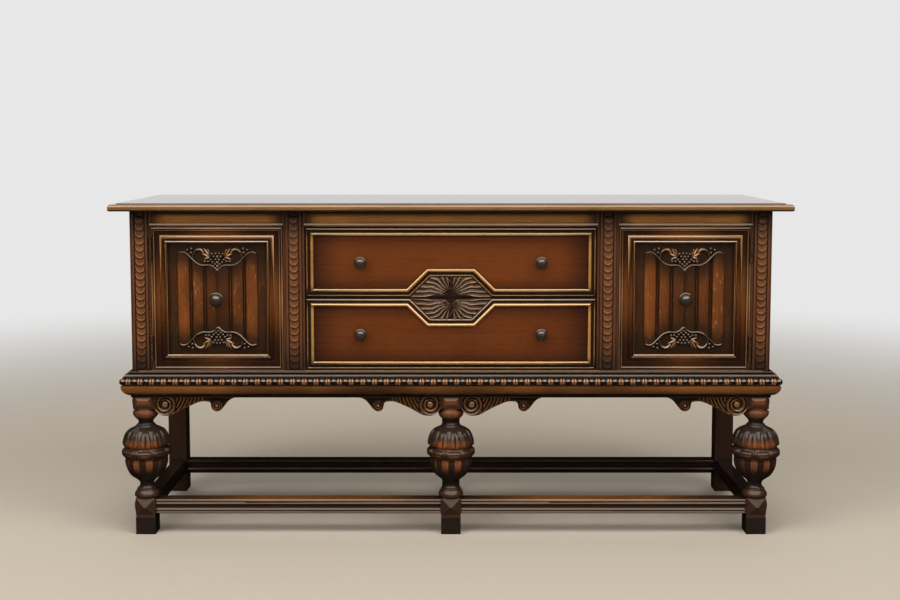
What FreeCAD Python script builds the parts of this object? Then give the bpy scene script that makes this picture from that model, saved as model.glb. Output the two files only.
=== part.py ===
import FreeCAD, Part
import math
import os
import Sketcher

# A carved sideboard: a case with two doors and two drawers on a six-legged stretcher stand.
# Origin on the floor under the middle of the top board, +X to the right seen from the front,
# front towards -Y, +Z up. Lengths are in millimetres.

driving = {
    # top board
    "overall_length": 1829.0,
    "overall_depth": 530.0,
    "overall_height": 914.0,
    "top_thick": 21.0,
    "top_overhang": 46.0,
    "top_back_overhang": 6.0,
    "nose_width": 19.0,
    "nose_quirk": 2.5,
    "nose_round": 8.0,
    "nose_under_round": 5.0,
    # case
    "case_floor": 456.0,
    "board_thick": 20.0,
    "back_thick": 8.0,
    "rail_thick": 22.0,
    "frieze_height": 43.0,
    "frieze_bead": 3.0,
    "pilaster_thick": 24.0,
    "pilaster_relief": 5.0,
    "outer_pilaster_width": 54.0,
    "inner_pilaster_width": 57.0,
    "carved_strip_width": 41.0,
    "carved_fillet": 4.5,
    "channel_depth": 4.0,
    "drawer_opening": 794.0,
    "shelf_thick": 18.0,
    "shelf_setback": 28.0,
    "shelf_play": 1.0,
    "shelf_pin_radius": 3.0,
    "shelf_pin_length": 16.0,
    "shelf_pin_inset": 60.0,
    "pin_clearance": 0.1,
    "runner_thick": 18.0,
    "runner_width": 20.0,
    "divider_depth": 60.0,
    "wear_strip": 4.0,
    "kicker_height": 16.0,
    "catch_length": 24.0,
    "catch_width": 12.0,
    "catch_height": 10.0,
    "catch_ball": 4.0,
    "seat_clearance": 0.3,
    "screw_radius": 2.2,
    "screw_head_radius": 4.5,
    "screw_head_thick": 3.0,
    "screw_bite": 12.0,
    "screw_clearance": 0.2,
    # doors
    "door_gap": 2.5,
    "door_thick": 22.0,
    "door_member": 41.0,
    "door_margin": 9.0,
    "door_step": 4.0,
    "door_moulding_width": 20.0,
    "door_moulding_height": 7.0,
    "door_moulding_round": 3.0,
    "tenon_length": 26.0,
    "tenon_thick": 7.0,
    "tenon_shoulder": 6.0,
    "panel_setback": 12.0,
    "panel_thick": 7.0,
    "panel_tongue": 6.0,
    "fold_height": 6.0,
    "tracery_thick": 8.0,
    "tracery_clearance": 0.2,
    "hinge_height": 60.0,
    "hinge_inset": 30.125,
    "hinge_leaf": 1.0,
    "hinge_barrel": 3.5,
    "hinge_bore": 1.7,
    "hinge_pin": 1.6,
    "hinge_ball": 3.2,
    "hinge_proud": 3.9,
    "hinge_slack": 0.3,
    "door_knob_radius": 20.0,
    "door_knob_length": 34.0,
    # drawers
    "drawer_gap": 1.5,
    "drawer_front_thick": 20.0,
    "drawer_side_thick": 12.0,
    "drawer_back_thick": 10.0,
    "drawer_bottom_thick": 6.0,
    "drawer_bottom_rise": 8.0,
    "drawer_groove": 5.0,
    "drawer_back_gap": 20.0,
    "drawer_side_lap": 8.0,
    "drawer_top_clearance": 3.0,
    "cock_bead_inset": 3.0,
    "cock_bead_width": 5.0,
    "cock_bead_height": 4.0,
    "cock_bead_round": 1.9,
    "field_moulding_inset": 14.0,
    "field_moulding_width": 13.0,
    "field_moulding_height": 6.0,
    "field_moulding_round": 3.5,
    "front_recess": 3.0,
    "medallion_flat": 55.0,
    "medallion_height": 55.5,
    "medallion_thick": 9.0,
    "medallion_bevel": 3.0,
    "drawer_knob_offset": 245.0,
    "drawer_knob_radius": 17.0,
    "drawer_knob_length": 30.0,
    # stand
    "stand_rail_height": 50.0,
    "base_moulding_foot": 383.0,
    "base_moulding_top": 455.0,
    "base_moulding_overhang": 29.7,
    "bead_radius": 8.9,
    "bead_pitch": 31.5,
    "front_block": 57.0,
    "front_foot": 54.0,
    "foot_height": 51.0,
    "lower_block_top": 110.0,
    "upper_block_foot": 346.0,
    "block_chamfer": 4.0,
    "bulb_radius": 66.0,
    "rear_post": 54.0,
    "stretcher_height": 40.0,
    "stretcher_depth": 40.0,
    "stretcher_rise": 56.0,
    "bracket_length": 222.0,
    "bracket_drop": 52.0,
    "bracket_thick": 26.0,
    "bracket_setback": 6.0,
}

doc = FreeCAD.newDocument("sideboard")
sheet = doc.addObject("Spreadsheet::Sheet", "Sizes")
for row, (name, number) in enumerate(driving.items(), start=1):
    sheet.set("A%d" % row, name)
    sheet.set("B%d" % row, str(number))
    sheet.setAlias("B%d" % row, name)
doc.recompute()


class Size:
    """A length that knows both its value and the sheet expression it comes from."""

    def __init__(self, text, value):
        self.text = text
        self.value = value

    def __add__(self, other):
        other = known(other)
        return Size("(%s + %s)" % (self.text, other.text), self.value + other.value)

    def __sub__(self, other):
        other = known(other)
        return Size("(%s - %s)" % (self.text, other.text), self.value - other.value)

    def __mul__(self, other):
        other = known(other)
        return Size("(%s * %s)" % (self.text, other.text), self.value * other.value)

    def __truediv__(self, other):
        other = known(other)
        return Size("(%s / %s)" % (self.text, other.text), self.value / other.value)

    def __radd__(self, other):
        return known(other) + self

    def __rsub__(self, other):
        return known(other) - self

    def __rmul__(self, other):
        return known(other) * self

    def __neg__(self):
        return known(0) - self


def known(amount):
    """Plain numbers, such as zero and shares, as sizes too."""
    if isinstance(amount, Size):
        return amount
    return Size("%.9g" % amount, float(amount))


class Sheet:
    """The driving dimensions, by name."""


s = Sheet()
for name, number in driving.items():
    setattr(s, name, Size("Sizes." + name, number))

# Levels of the shelves and of the line between the drawers, as shares of the opening's height
shelf_share = 0.4924
drawer_split_share = 0.50635

# Reach of the folds and of the carving, and its drop, as shares of the panel's half width and height in sight
fold_reach_share = 0.78975
tracery_reach_share = 0.8629
tracery_drop_share = 0.25304

# Places that several pieces share
half_length = s.overall_length / 2
case_half = half_length - s.top_overhang
front = s.top_overhang - s.overall_depth / 2
back = s.overall_depth / 2 - s.top_back_overhang
top_foot = s.overall_height - s.top_thick
face = front + s.pilaster_relief
inside_back = back - s.back_thick
inside_front = face + s.door_thick
end_inside = case_half - s.board_thick
floor_foot = s.case_floor - s.board_thick
opening_top = top_foot - s.frieze_height
shelf_level = s.case_floor + (opening_top - s.case_floor) * shelf_share
drawer_split = s.case_floor + (opening_top - s.case_floor) * drawer_split_share
drawer_half = s.drawer_opening / 2
inner_pilaster_out = drawer_half + s.inner_pilaster_width
door_bay_out = case_half - s.outer_pilaster_width
partition_out = drawer_half + s.board_thick
door_foot = s.case_floor + s.door_gap / 2
door_top = opening_top - s.door_gap
door_near = inner_pilaster_out + s.door_gap
door_far = door_bay_out - s.door_gap
door_middle = (door_near + door_far) / 2
door_centre = (door_foot + door_top) / 2
step_face = face + s.door_step
panel_face = face + s.panel_setback
sight_half = (door_far - door_near) / 2 - s.door_member
sight_height = door_top - door_foot - s.door_member * 2
fold_reach = sight_half * fold_reach_share
tracery_reach = sight_half * tracery_reach_share
tracery_drop = sight_height * tracery_drop_share
upper_hinge_foot = door_top - s.hinge_inset - s.hinge_height
lower_hinge_foot = door_foot + s.hinge_inset
leg_x = case_half - s.front_block / 2
leg_y = front + s.front_block / 2
rear_x = case_half - s.rear_post / 2
rear_y = back - s.rear_post / 2

upright = FreeCAD.Rotation()
along_x = FreeCAD.Rotation(FreeCAD.Vector(0, 1, 0), 90)
along_y = FreeCAD.Rotation(FreeCAD.Vector(1, 0, 0), -90)
turns = {"x": along_x, "y": along_y, "z": upright}
sides = {"left": -1, "right": 1}

nodes = {}


def node(label, thing):
    """Names a finished sub-part."""
    thing.Label = label
    nodes[label] = thing
    return thing


def bind(thing, prop, amount):
    """Ties one property to the sheet."""
    thing.setExpression(prop, known(amount).text)


def place(thing, x, y, z, rotation=upright):
    """Puts a thing at a point worked out from the sheet."""
    thing.Placement = FreeCAD.Placement(FreeCAD.Vector(), rotation)
    for axis, amount in zip("xyz", (x, y, z)):
        bind(thing, "Placement.Base." + axis, amount)
    return thing


def block(x, y, z):
    """A box between pairs of (low, high)."""
    box = doc.addObject("Part::Box", "Block")
    for prop, (low, high) in zip(("Length", "Width", "Height"), (x, y, z)):
        bind(box, prop, known(high) - low)
    return place(box, x[0], y[0], z[0])


def rod(x, y, z, radius, length, axis="z"):
    """A cylinder from a point along one axis."""
    cylinder = doc.addObject("Part::Cylinder", "Rod")
    bind(cylinder, "Radius", radius)
    bind(cylinder, "Height", length)
    return place(cylinder, x, y, z, turns[axis])


def ball(x, y, z, radius):
    """A sphere about a point."""
    sphere = doc.addObject("Part::Sphere", "Ball")
    bind(sphere, "Radius", radius)
    return place(sphere, x, y, z)


def joined(things):
    """Several solids fused into one."""
    fusion = doc.addObject("Part::MultiFuse", "Joined")
    fusion.Shapes = things
    return fusion


def group(things):
    """Separate solids kept together under one name."""
    compound = doc.addObject("Part::Compound", "Group")
    compound.Links = things
    return compound


def cut(base, tools):
    """A solid less its tools."""
    removed = doc.addObject("Part::Cut", "Cut")
    removed.Base = base
    removed.Tool = tools[0] if len(tools) == 1 else group(tools)
    return removed


def span(side, low, high):
    """A stretch of X on the right, or its mirror image on the left."""
    return (low, high) if side > 0 else (-known(high), -known(low))


def draw(sketch, path):
    """Closes an outline of corners (x, y) and arcs (via x, via y, x, y), each point held by the sheet."""
    path = [tuple(known(amount) for amount in step) for step in path]
    start = path[-1][-2:]
    curves = []
    for step in path:
        points = [FreeCAD.Vector(x.value, y.value, 0) for x, y in (start, step[:2], step[-2:])]
        bend = (points[1] - points[0]).cross(points[2] - points[1]).z
        if len(step) == 2:
            line = Part.LineSegment(points[0], points[2])
            curves.append((sketch.addGeometry(line, False), 1, 2))
        elif bend > 0:
            curves.append((sketch.addGeometry(Part.Arc(*points), False), 1, 2))
        else:
            curves.append((sketch.addGeometry(Part.Arc(*points[::-1]), False), 2, 1))
        start = step[-2:]
    for index, step in enumerate(path):
        curve, _, end = curves[index]
        follower, begin, _ = curves[(index + 1) % len(curves)]
        sketch.addConstraint(Sketcher.Constraint("Coincident", curve, end, follower, begin))
        hold(sketch, curve, end, step[-2], step[-1])
        if len(step) > 2:
            middle = FreeCAD.Vector(step[0].value, step[1].value, 0)
            point = sketch.addGeometry(Part.Point(middle), True)
            hold(sketch, point, 1, step[0], step[1])
            sketch.addConstraint(Sketcher.Constraint("PointOnObject", point, 1, curve))


def traced(shares, across, up):
    """An outline from a table of shares, with one rule across and one rule up."""
    path = []
    for step in shares:
        path.append(tuple(up(share) if index % 2 else across(share) for index, share in enumerate(step)))
    return path


def hold(sketch, curve, end, x, y):
    """Dimensions one point of a sketch from its origin."""
    for kind, amount in (("DistanceX", x), ("DistanceY", y)):
        dimension = Sketcher.Constraint(kind, -1, 1, curve, end, amount.value)
        dimension.Name = "%s_%d_%d" % (kind, curve, end)
        sketch.addConstraint(dimension)
        sketch.setExpression("Constraints." + dimension.Name, amount.text)


def new_body():
    """An empty body."""
    return doc.addObject("PartDesign::Body", "Body")


def outline(body, plane, paths, offset=0):
    """A sketch on one of the body's own planes, moved along the plane's normal."""
    sketch = body.newObject("Sketcher::SketchObject", "Outline")
    support = [item for item in body.Origin.OriginFeatures if item.Role == plane][0]
    sketch.AttachmentSupport = [(support, "")]
    sketch.MapMode = "FlatFace"
    bind(sketch, "AttachmentOffset.Base.z", offset)
    for path in paths:
        draw(sketch, path)
    return sketch


def pad(body, plane, paths, length, offset=0, both_ways=False):
    """An outline given thickness along its plane's normal."""
    feature = body.newObject("PartDesign::Pad", "Pad")
    feature.Profile = outline(body, plane, paths, offset)
    bind(feature, "Length", length)
    feature.Midplane = both_ways
    body.Tip = feature
    return feature


def pocket(body, plane, paths, length, offset=0, both_ways=False):
    """An outline cut away against its plane's normal."""
    feature = body.newObject("PartDesign::Pocket", "Pocket")
    feature.Profile = outline(body, plane, paths, offset)
    bind(feature, "Length", length)
    feature.Midplane = both_ways
    body.Tip = feature
    return feature


def turned(body, plane, path):
    """An outline spun about its sketch's vertical axis."""
    sketch = outline(body, plane, [path])
    feature = body.newObject("PartDesign::Revolution", "Turning")
    feature.Profile = sketch
    feature.ReferenceAxis = (sketch, ["V_Axis"])
    feature.Angle = 360
    body.Tip = feature
    return feature


# How closely a coordinate is known, as a share of half the sideboard's length
rounding_share = 1e-6


def dress(body, kind, radius, axis, level, skip=None):
    """Rounds or chamfers the body's straight edges at one level, but for those at a level to skip."""
    doc.recompute()
    base = body.Tip
    names = []
    for index, edge in enumerate(base.Shape.Edges, start=1):
        ends = [vertex.Point for vertex in edge.Vertexes]
        wanted = isinstance(edge.Curve, Part.Line) and all(near(getattr(end, axis), level) for end in ends)
        if wanted and skip and all(near(getattr(end, skip[0]), skip[1]) for end in ends):
            wanted = False
        if wanted:
            names.append("Edge%d" % index)
    feature = body.newObject("PartDesign::" + kind, kind)
    feature.Base = (base, names)
    bind(feature, "Radius" if kind == "Fillet" else "Size", radius)
    body.Tip = feature
    return feature


def near(value, amount):
    """True where a coordinate meets a place, but for rounding."""
    return math.isclose(value, amount.value, abs_tol=half_length.value * rounding_share)


def rectangle(x, y):
    """Corners of a rectangle between pairs of (low, high)."""
    return [(x[0], y[0]), (x[1], y[0]), (x[1], y[1]), (x[0], y[1])]


# Top board: a full board with a quirked nose on the front and both ends, screwed from below

def screw_places():
    """Screw centres along the frieze rails and the rear rails."""
    rows = (face + s.rail_thick / 2, inside_back - s.rail_thick / 2)
    outer = (door_bay_out + inner_pilaster_out) / 2
    columns = (-outer, -drawer_half / 2, drawer_half / 2, outer)
    return [(x, y) for y in rows for x in columns]


def screw_holes(low, high, radius):
    """Vertical holes at every screw place."""
    return [rod(x, y, low, radius, high - low) for x, y in screw_places()]


def top_board():
    nose_top = s.overall_height - s.nose_quirk
    inset = s.nose_width
    body = new_body()
    full = rectangle((-half_length, half_length), (-s.overall_depth / 2, s.overall_depth / 2))
    pad(body, "XY_Plane", [full], nose_top - top_foot, top_foot)

    rear_edge = ("y", s.overall_depth / 2)
    dress(body, "Fillet", s.nose_round, "z", nose_top, rear_edge)
    dress(body, "Fillet", s.nose_under_round, "z", top_foot, rear_edge)
    field = rectangle((inset - half_length, half_length - inset),
                      (inset - s.overall_depth / 2, s.overall_depth / 2))
    pad(body, "XY_Plane", [field], s.nose_quirk, nose_top)
    holes = screw_holes(top_foot, top_foot + s.screw_bite, s.screw_radius + s.screw_clearance)
    node("top_board", cut(body, holes))


# Case

def ends_and_partitions():
    pin_rows = (inside_front + s.shelf_setback + s.shelf_pin_inset, inside_back - s.shelf_pin_inset)
    pin_z = shelf_level - s.shelf_thick / 2 - s.shelf_pin_radius
    half_pin = s.shelf_pin_length / 2
    pins = []
    for name, side in sides.items():
        end = block(span(side, end_inside, case_half), (front + s.pilaster_thick, inside_back),
                    (floor_foot, top_foot))
        partition = block(span(side, drawer_half, partition_out), (front + s.pilaster_thick, inside_back),
                          (s.case_floor, top_foot))
        walls = (("end_panel_", end, end_inside), ("partition_", partition, partition_out))
        for label, wall, inner_face in walls:
            bores = []
            for y in pin_rows:
                low = span(side, inner_face - half_pin, inner_face + half_pin)[0]
                bore = s.shelf_pin_radius + s.pin_clearance
                bores.append(rod(low, y, pin_z, bore, s.shelf_pin_length, "x"))
                pins.append(rod(low, y, pin_z, s.shelf_pin_radius, s.shelf_pin_length, "x"))
            node(label + name, cut(wall, bores))
        shelf = block(span(side, partition_out + s.shelf_play, end_inside - s.shelf_play),
                      (inside_front + s.shelf_setback, inside_back - s.shelf_play),
                      (shelf_level - s.shelf_thick / 2, shelf_level + s.shelf_thick / 2))
        node("shelf_" + name, shelf)
    node("shelf_pins", group(pins))


def floor_and_back():
    node("bottom_board", block((-end_inside, end_inside), (front, inside_back), (floor_foot, s.case_floor)))
    node("back_panel", block((-case_half, case_half), (inside_back, back), (floor_foot, top_foot)))


def rails():
    """Frieze rails between the pilasters and rear rails between the panels, three bays each."""
    shank = s.screw_radius + s.screw_clearance
    head = s.screw_head_radius + s.screw_clearance
    head_top = opening_top + s.frieze_height / 2
    drilled = {"frieze_rails": [], "rear_top_rails": []}
    bays = {"frieze_rails": [(inner_pilaster_out, door_bay_out), (-drawer_half, drawer_half)],
            "rear_top_rails": [(partition_out, end_inside), (-drawer_half, drawer_half)]}
    depth = {"frieze_rails": (face, face + s.rail_thick),
             "rear_top_rails": (inside_back - s.rail_thick, inside_back)}
    for label, (outer, middle) in bays.items():
        for x in (span(-1, *outer), middle, span(1, *outer)):
            rail = block(x, depth[label], (opening_top, top_foot))
            if label == "frieze_rails":
                bead = rod(x[0], face, opening_top + s.frieze_bead, s.frieze_bead, known(x[1]) - x[0], "x")
                rail = joined([rail, bead])
            tools = screw_holes(opening_top, top_foot, shank) + screw_holes(opening_top, head_top, head)
            drilled[label].append(cut(rail, tools))
        node(label, group(drilled[label]))
    screws = []
    for x, y in screw_places():
        screw_shank = rod(x, y, head_top - s.screw_head_thick, s.screw_radius,
                          top_foot + s.screw_bite - head_top + s.screw_head_thick / 2)
        screw_head = rod(x, y, head_top - s.screw_head_thick, s.screw_head_radius, s.screw_head_thick)
        screws.append(joined([screw_shank, screw_head]))
    node("top_screws", group(screws))


def pilaster(label, low, high, centre):
    """A stile whose front carries a raised strip with a sunk channel for the scale carving."""
    half_strip = s.carved_strip_width / 2
    half_channel = half_strip - s.carved_fillet
    rear = front + s.pilaster_thick
    channel = front + s.channel_depth
    plan = [(low, rear), (low, face), (centre - half_strip, face), (centre - half_strip, front),
            (centre - half_channel, front), (centre - half_channel, channel),
            (centre + half_channel, channel), (centre + half_channel, front),
            (centre + half_strip, front), (centre + half_strip, face), (high, face), (high, rear)]
    body = new_body()
    pad(body, "XY_Plane", [plan], top_foot - s.case_floor, s.case_floor)
    node(label, body)


def pilasters():
    for name, side in sides.items():
        low, high = span(side, door_bay_out, case_half)
        middle = (door_bay_out + case_half) / 2
        pilaster("pilaster_outer_" + name, low, high, side * middle)
        low, high = span(side, drawer_half, inner_pilaster_out)
        middle = (drawer_half + inner_pilaster_out) / 2
        pilaster("pilaster_inner_" + name, low, high, side * middle)


def drawer_support():
    """A divider between the drawers, with runners, wear strips and kickers along both partitions."""
    low = drawer_split - s.runner_thick / 2
    high = drawer_split + s.runner_thick / 2
    start = face + s.drawer_front_thick + s.door_gap
    node("drawer_divider", block((-drawer_half, drawer_half), (start, start + s.divider_depth), (low, high)))
    strips = []
    kicker_foot = opening_top - s.kicker_height / 2
    levels = ((start + s.divider_depth, low, high),
              (start, s.case_floor, s.case_floor + s.wear_strip),
              (face + s.rail_thick, kicker_foot, kicker_foot + s.kicker_height))
    for side in sides.values():
        x = span(side, drawer_half - s.runner_width, drawer_half)
        for begin, foot, head in levels:
            end = inside_back - s.rail_thick
            strips.append(block(x, (begin, end), (foot, head)))
    node("drawer_runners", group(strips))


# Stand

seat_share = 0.70
seat_height_share = 0.645
base_height = s.base_moulding_top - s.base_moulding_foot
seat_out = s.base_moulding_overhang * seat_share
seat_rise = s.base_moulding_foot + base_height * seat_height_share

# Outward share of the overhang, then height share, for the base moulding's section
moulding_shares = [
    (0, 0), (0.13, 0), (0.13, 0.09), (0.66, 0.23, 0.87, 0.48), (seat_share, 0.50), (seat_share, 0.83),
    (0.60, 0.86, 0.54, 0.91), (0.30, 0.93), (0.18, 0.93), (0.18, 0.945), (0.30, 0.972, 0.18, 1.0), (0, 1.0),
]


def moulding_section(origin, direction):
    """The base moulding's section, outward from a plane."""
    return traced(moulding_shares, lambda share: origin + s.base_moulding_overhang * share * direction,
                  lambda share: s.base_moulding_foot + base_height * share)


def base_mouldings():
    """Three lengths, mitred at the front corners."""
    overhang = s.base_moulding_overhang
    reach = case_half + overhang
    front_run = new_body()
    pad(front_run, "YZ_Plane", [moulding_section(front, -1)], reach * 2, 0, True)
    mitres = [[(side * reach, front), (side * case_half, front), (side * reach, front - overhang)]
              for side in sides.values()]
    pocket(front_run, "XY_Plane", mitres, s.overall_height * 2, 0, True)
    node("base_moulding_front", front_run)
    ends = []
    for side in sides.values():
        run = new_body()
        pad(run, "XZ_Plane", [moulding_section(side * case_half, side)], back - front + overhang, -back)
        mitre = [(side * case_half, front), (side * reach, front - overhang),
                 (side * case_half, front - overhang)]
        pocket(run, "XY_Plane", [mitre], s.overall_height * 2, 0, True)
        ends.append(run)
    node("base_moulding_ends", group(ends))


# Shares of the pitch from one bead's centre to the next, and of the bead's radius
bead_half_share = 0.25
disc_shares = ((0.30, 0.49), (0.51, 0.70))
neck_share = 0.55


def bead_string(length, ends_whole):
    """Half-round string along X of long beads and paired discs, from bead centre to bead centre."""
    count = max(1, round(length / s.bead_pitch.value))
    pitch = length / count
    radius = s.bead_radius.value
    neck = radius * neck_share
    half = pitch * bead_half_share
    bulges = []
    for index in range(count + 1):
        centre = pitch * index
        bulges.append((centre - half, centre + half))
        if index < count:
            bulges += [(centre + pitch * low, centre + pitch * high) for low, high in disc_shares]
    edges = []
    cursor = None
    for low, high in bulges:
        if cursor is not None:
            edges.append(Part.makeLine(cursor, FreeCAD.Vector(low, 0, neck)))
        cursor = FreeCAD.Vector(high, 0, neck)
        crown = FreeCAD.Vector((low + high) / 2, 0, radius)
        edges.append(Part.Arc(FreeCAD.Vector(low, 0, neck), crown, cursor).toShape())
    first = FreeCAD.Vector(-half, 0, 0)
    last = FreeCAD.Vector(length + half, 0, 0)
    edges.append(Part.makeLine(cursor, last))
    edges.append(Part.makeLine(last, first))
    edges.append(Part.makeLine(first, FreeCAD.Vector(-half, 0, neck)))
    string = Part.Face(Part.Wire(edges)).revolve(FreeCAD.Vector(), FreeCAD.Vector(1, 0, 0), 180)
    if ends_whole:
        return string
    return string.common(Part.makeBox(length, radius * 2, radius * 2, FreeCAD.Vector(0, -radius, -radius)))


def bead_strings():
    """Bead and reel along the front and both ends, on the flat seat of the base moulding."""
    strings = []
    seat_y = front - seat_out
    corner = case_half + seat_out
    runs = ((corner * 2, True, 0, -corner, seat_y),
            (back - seat_y, False, -90, -corner, back),
            (back - seat_y, False, 90, corner, seat_y))
    for length, ends_whole, angle, x, y in runs:
        string = doc.addObject("Part::Feature", "BeadString")
        string.Shape = bead_string(length.value, ends_whole)
        place(string, x, y, seat_rise, FreeCAD.Rotation(FreeCAD.Vector(0, 0, 1), angle))
        strings.append(string)
    node("bead_and_reel", group(strings))


# Radius share of the bulb, then height share of the turned length, bottom to top
turning_shares = [
    (0, 0), (0.36, 0), (0.43, 0.035, 0.37, 0.07), (0.33, 0.08), (0.27, 0.135, 0.36, 0.18),
    (0.66, 0.25, 0.84, 0.36), (0.865, 0.43), (0.97, 0.45), (1.0, 0.505, 0.97, 0.555), (0.88, 0.57),
    (0.88, 0.585), (0.965, 0.635, 0.90, 0.71), (0.72, 0.765, 0.42, 0.81), (0.34, 0.82),
    (0.28, 0.86, 0.34, 0.90), (0.37, 0.91), (0.43, 0.955, 0.36, 1.0), (0, 1.0),
]


def front_leg(label, x):
    """Square foot and blocks with a turned cup and cover between them."""
    length = s.upper_block_foot - s.lower_block_top
    path = traced(turning_shares, lambda share: s.bulb_radius * share,
                  lambda share: s.lower_block_top + length * share)
    half_foot = s.front_foot / 2
    half_block = s.front_block / 2
    body = new_body()
    pad(body, "XY_Plane", [rectangle((-half_foot, half_foot), (-half_foot, half_foot))], s.foot_height)
    pad(body, "XY_Plane", [rectangle((-half_block, half_block), (-half_block, half_block))],
        s.lower_block_top - s.foot_height, s.foot_height)
    dress(body, "Chamfer", s.block_chamfer, "z", s.lower_block_top)
    turned(body, "XZ_Plane", path)
    pad(body, "XY_Plane", [rectangle((-half_block, half_block), (-half_block, half_block))],
        floor_foot - s.upper_block_foot, s.upper_block_foot)
    dress(body, "Chamfer", s.block_chamfer, "z", s.upper_block_foot)
    node(label, place(body, x, leg_y, 0))


def legs():
    for name, x in (("left", -leg_x), ("centre", known(0)), ("right", leg_x)):
        front_leg("leg_front_" + name, x)
    half = s.rear_post / 2
    posts = []
    for x in (-rear_x, known(0), rear_x):
        post = new_body()
        pad(post, "XY_Plane", [rectangle((-half, half), (-half, half))], floor_foot)
        dress(post, "Chamfer", s.block_chamfer / 2, "z", known(0))
        posts.append(place(post, x, rear_y, 0))
    node("legs_rear", group(posts))


def stand_rails():
    """Rails between the leg tops, flush with the case behind the base moulding."""
    low = floor_foot - s.stand_rail_height
    leg_inner = leg_x - s.front_block / 2
    rear_inner = rear_x - s.rear_post / 2
    rails_made = []
    for side in sides.values():
        rails_made.append(block(span(side, s.front_block / 2, leg_inner), (front, front + s.rail_thick),
                                (low, floor_foot)))
        rails_made.append(block(span(side, s.rear_post / 2, rear_inner), (back - s.rail_thick, back),
                                (low, floor_foot)))
        rails_made.append(block(span(side, case_half - s.rail_thick, case_half),
                                (front + s.front_block, back - s.rear_post), (low, floor_foot)))
    node("stand_rails", group(rails_made))


# Across the section from the moulded face, then up it, as shares of the stretcher's depth and height
stretcher_shares = [
    (1, 0), (1, 1), (0.12, 1), (0.03, 0.97, 0, 0.88), (0, 0.78), (0.07, 0.76), (0.07, 0.70), (0, 0.68),
    (0, 0.60), (0.06, 0.44, 0, 0.28), (0, 0.20), (0.07, 0.18), (0.07, 0.12), (0, 0.10), (0, 0),
]


def stretcher_section(origin, inward):
    """The stretcher's section, inward from its moulded face."""
    return traced(stretcher_shares, lambda share: origin + s.stretcher_depth * share * inward,
                  lambda share: s.stretcher_rise + s.stretcher_height * share)


def stretchers():
    half_depth = s.stretcher_depth / 2
    leg_inner = leg_x - s.front_block / 2
    rear_inner = rear_x - s.rear_post / 2
    rows = {"stretchers_front": (leg_y - half_depth, 1, s.front_block / 2, leg_inner),
            "stretchers_rear": (rear_y - half_depth, 1, s.rear_post / 2, rear_inner)}
    for label, (origin, inward, low, high) in rows.items():
        halves = []
        for side in sides.values():
            run = new_body()
            begin = span(side, low, high)[0]
            pad(run, "YZ_Plane", [stretcher_section(origin, inward)], high - low, begin)
            halves.append(run)
        node(label, group(halves))
    ends = []
    for side in sides.values():
        run = new_body()
        outer = side * (leg_x + half_depth)
        rear_face = back - s.rear_post
        front_face = front + s.front_block
        pad(run, "XZ_Plane", [stretcher_section(outer, -side)], rear_face - front_face, -rear_face)
        ends.append(run)
    node("stretchers_side", group(ends))


# Along the bracket from the leg, then down from the rail, as shares of its length and drop
bracket_shares = [
    (0, 0), (0, 0.22), (0.02, 0.30), (0.035, 0.72, 0.15, 1.0), (0.30, 0.78), (0.44, 0.46),
    (0.58, 0.22, 0.69, 0.30), (0.70, 0.62, 0.77, 0.77), (0.84, 0.72, 0.875, 0.45), (0.92, 0.18, 1.0, 0),
]


def brackets():
    """Scrolled brackets from each corner leg inwards and from the centre leg both ways."""
    rail_foot = floor_foot - s.stand_rail_height
    starts = [(-leg_x + s.front_block / 2, 1), (-s.front_block / 2, -1),
              (s.front_block / 2, 1), (leg_x - s.front_block / 2, -1)]
    made = []
    for start, direction in starts:
        path = traced(bracket_shares, lambda share: start + s.bracket_length * share * direction,
                      lambda share: rail_foot - s.bracket_drop * share)
        body = new_body()
        pad(body, "XZ_Plane", [path], s.bracket_thick, -(front + s.bracket_setback + s.bracket_thick))
        made.append(body)
    node("brackets", group(made))


# Doors

def ring(outer, inner, plane_y, height, rounding):
    """A band between two outlines, standing forward of a plane, with its front edges rounded."""
    body = new_body()
    pad(body, "XZ_Plane", [outer, inner], height, -known(plane_y))
    dress(body, "Fillet", rounding, "y", known(plane_y) - height)
    return body


def door_frame(near_x, far_x):
    """Two stiles and two rails with tenons, stepped on the front and grooved for the panel."""
    member = s.door_member
    rear = face + s.door_thick
    tongue = block((near_x + member - s.panel_tongue, far_x - member + s.panel_tongue),
                   (panel_face, panel_face + s.panel_thick),
                   (door_foot + member - s.panel_tongue, door_top - member + s.panel_tongue))
    tenon_y = (step_face + s.tenon_shoulder, step_face + s.tenon_shoulder + s.tenon_thick)
    pieces = []
    sockets = []
    rails_made = []
    for foot, edge in ((door_foot, door_foot), (door_top - member, door_top - s.door_margin)):
        rail = block((near_x + member, far_x - member), (step_face, rear), (foot, foot + member))
        margin = block((near_x + member, far_x - member), (face, step_face), (edge, edge + s.door_margin))
        tenon = block((near_x + member - s.tenon_length, far_x - member + s.tenon_length), tenon_y,
                      (foot + s.tenon_shoulder, foot + member - s.tenon_shoulder * 2))
        sockets.append(tenon)
        rails_made.append(cut(joined([rail, margin, tenon]), [tongue]))
    for low, edge in ((near_x, near_x), (far_x - member, far_x - s.door_margin)):
        stile = block((low, low + member), (step_face, rear), (door_foot, door_top))
        margin = block((edge, edge + s.door_margin), (face, step_face), (door_foot, door_top))
        caps = [block((low, low + member), (face, step_face), (foot, foot + s.door_margin))
                for foot in (door_foot, door_top - s.door_margin)]
        pieces.append(cut(joined([stile, margin] + caps), sockets + [tongue]))
    return group(pieces + rails_made)


# Across the carving from its middle, then down from its edge, as shares of its reach and drop
tracery_shares = [
    (-1, 0), (-1, 0.36), (-0.76, 0.36), (-0.62, 0.46, -0.48, 0.78), (-0.30, 0.87, -0.12, 0.86), (0, 1.0),
    (0.12, 0.86), (0.30, 0.87, 0.48, 0.78), (0.62, 0.46, 0.76, 0.36), (1, 0.36), (1, 0),
]

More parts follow.
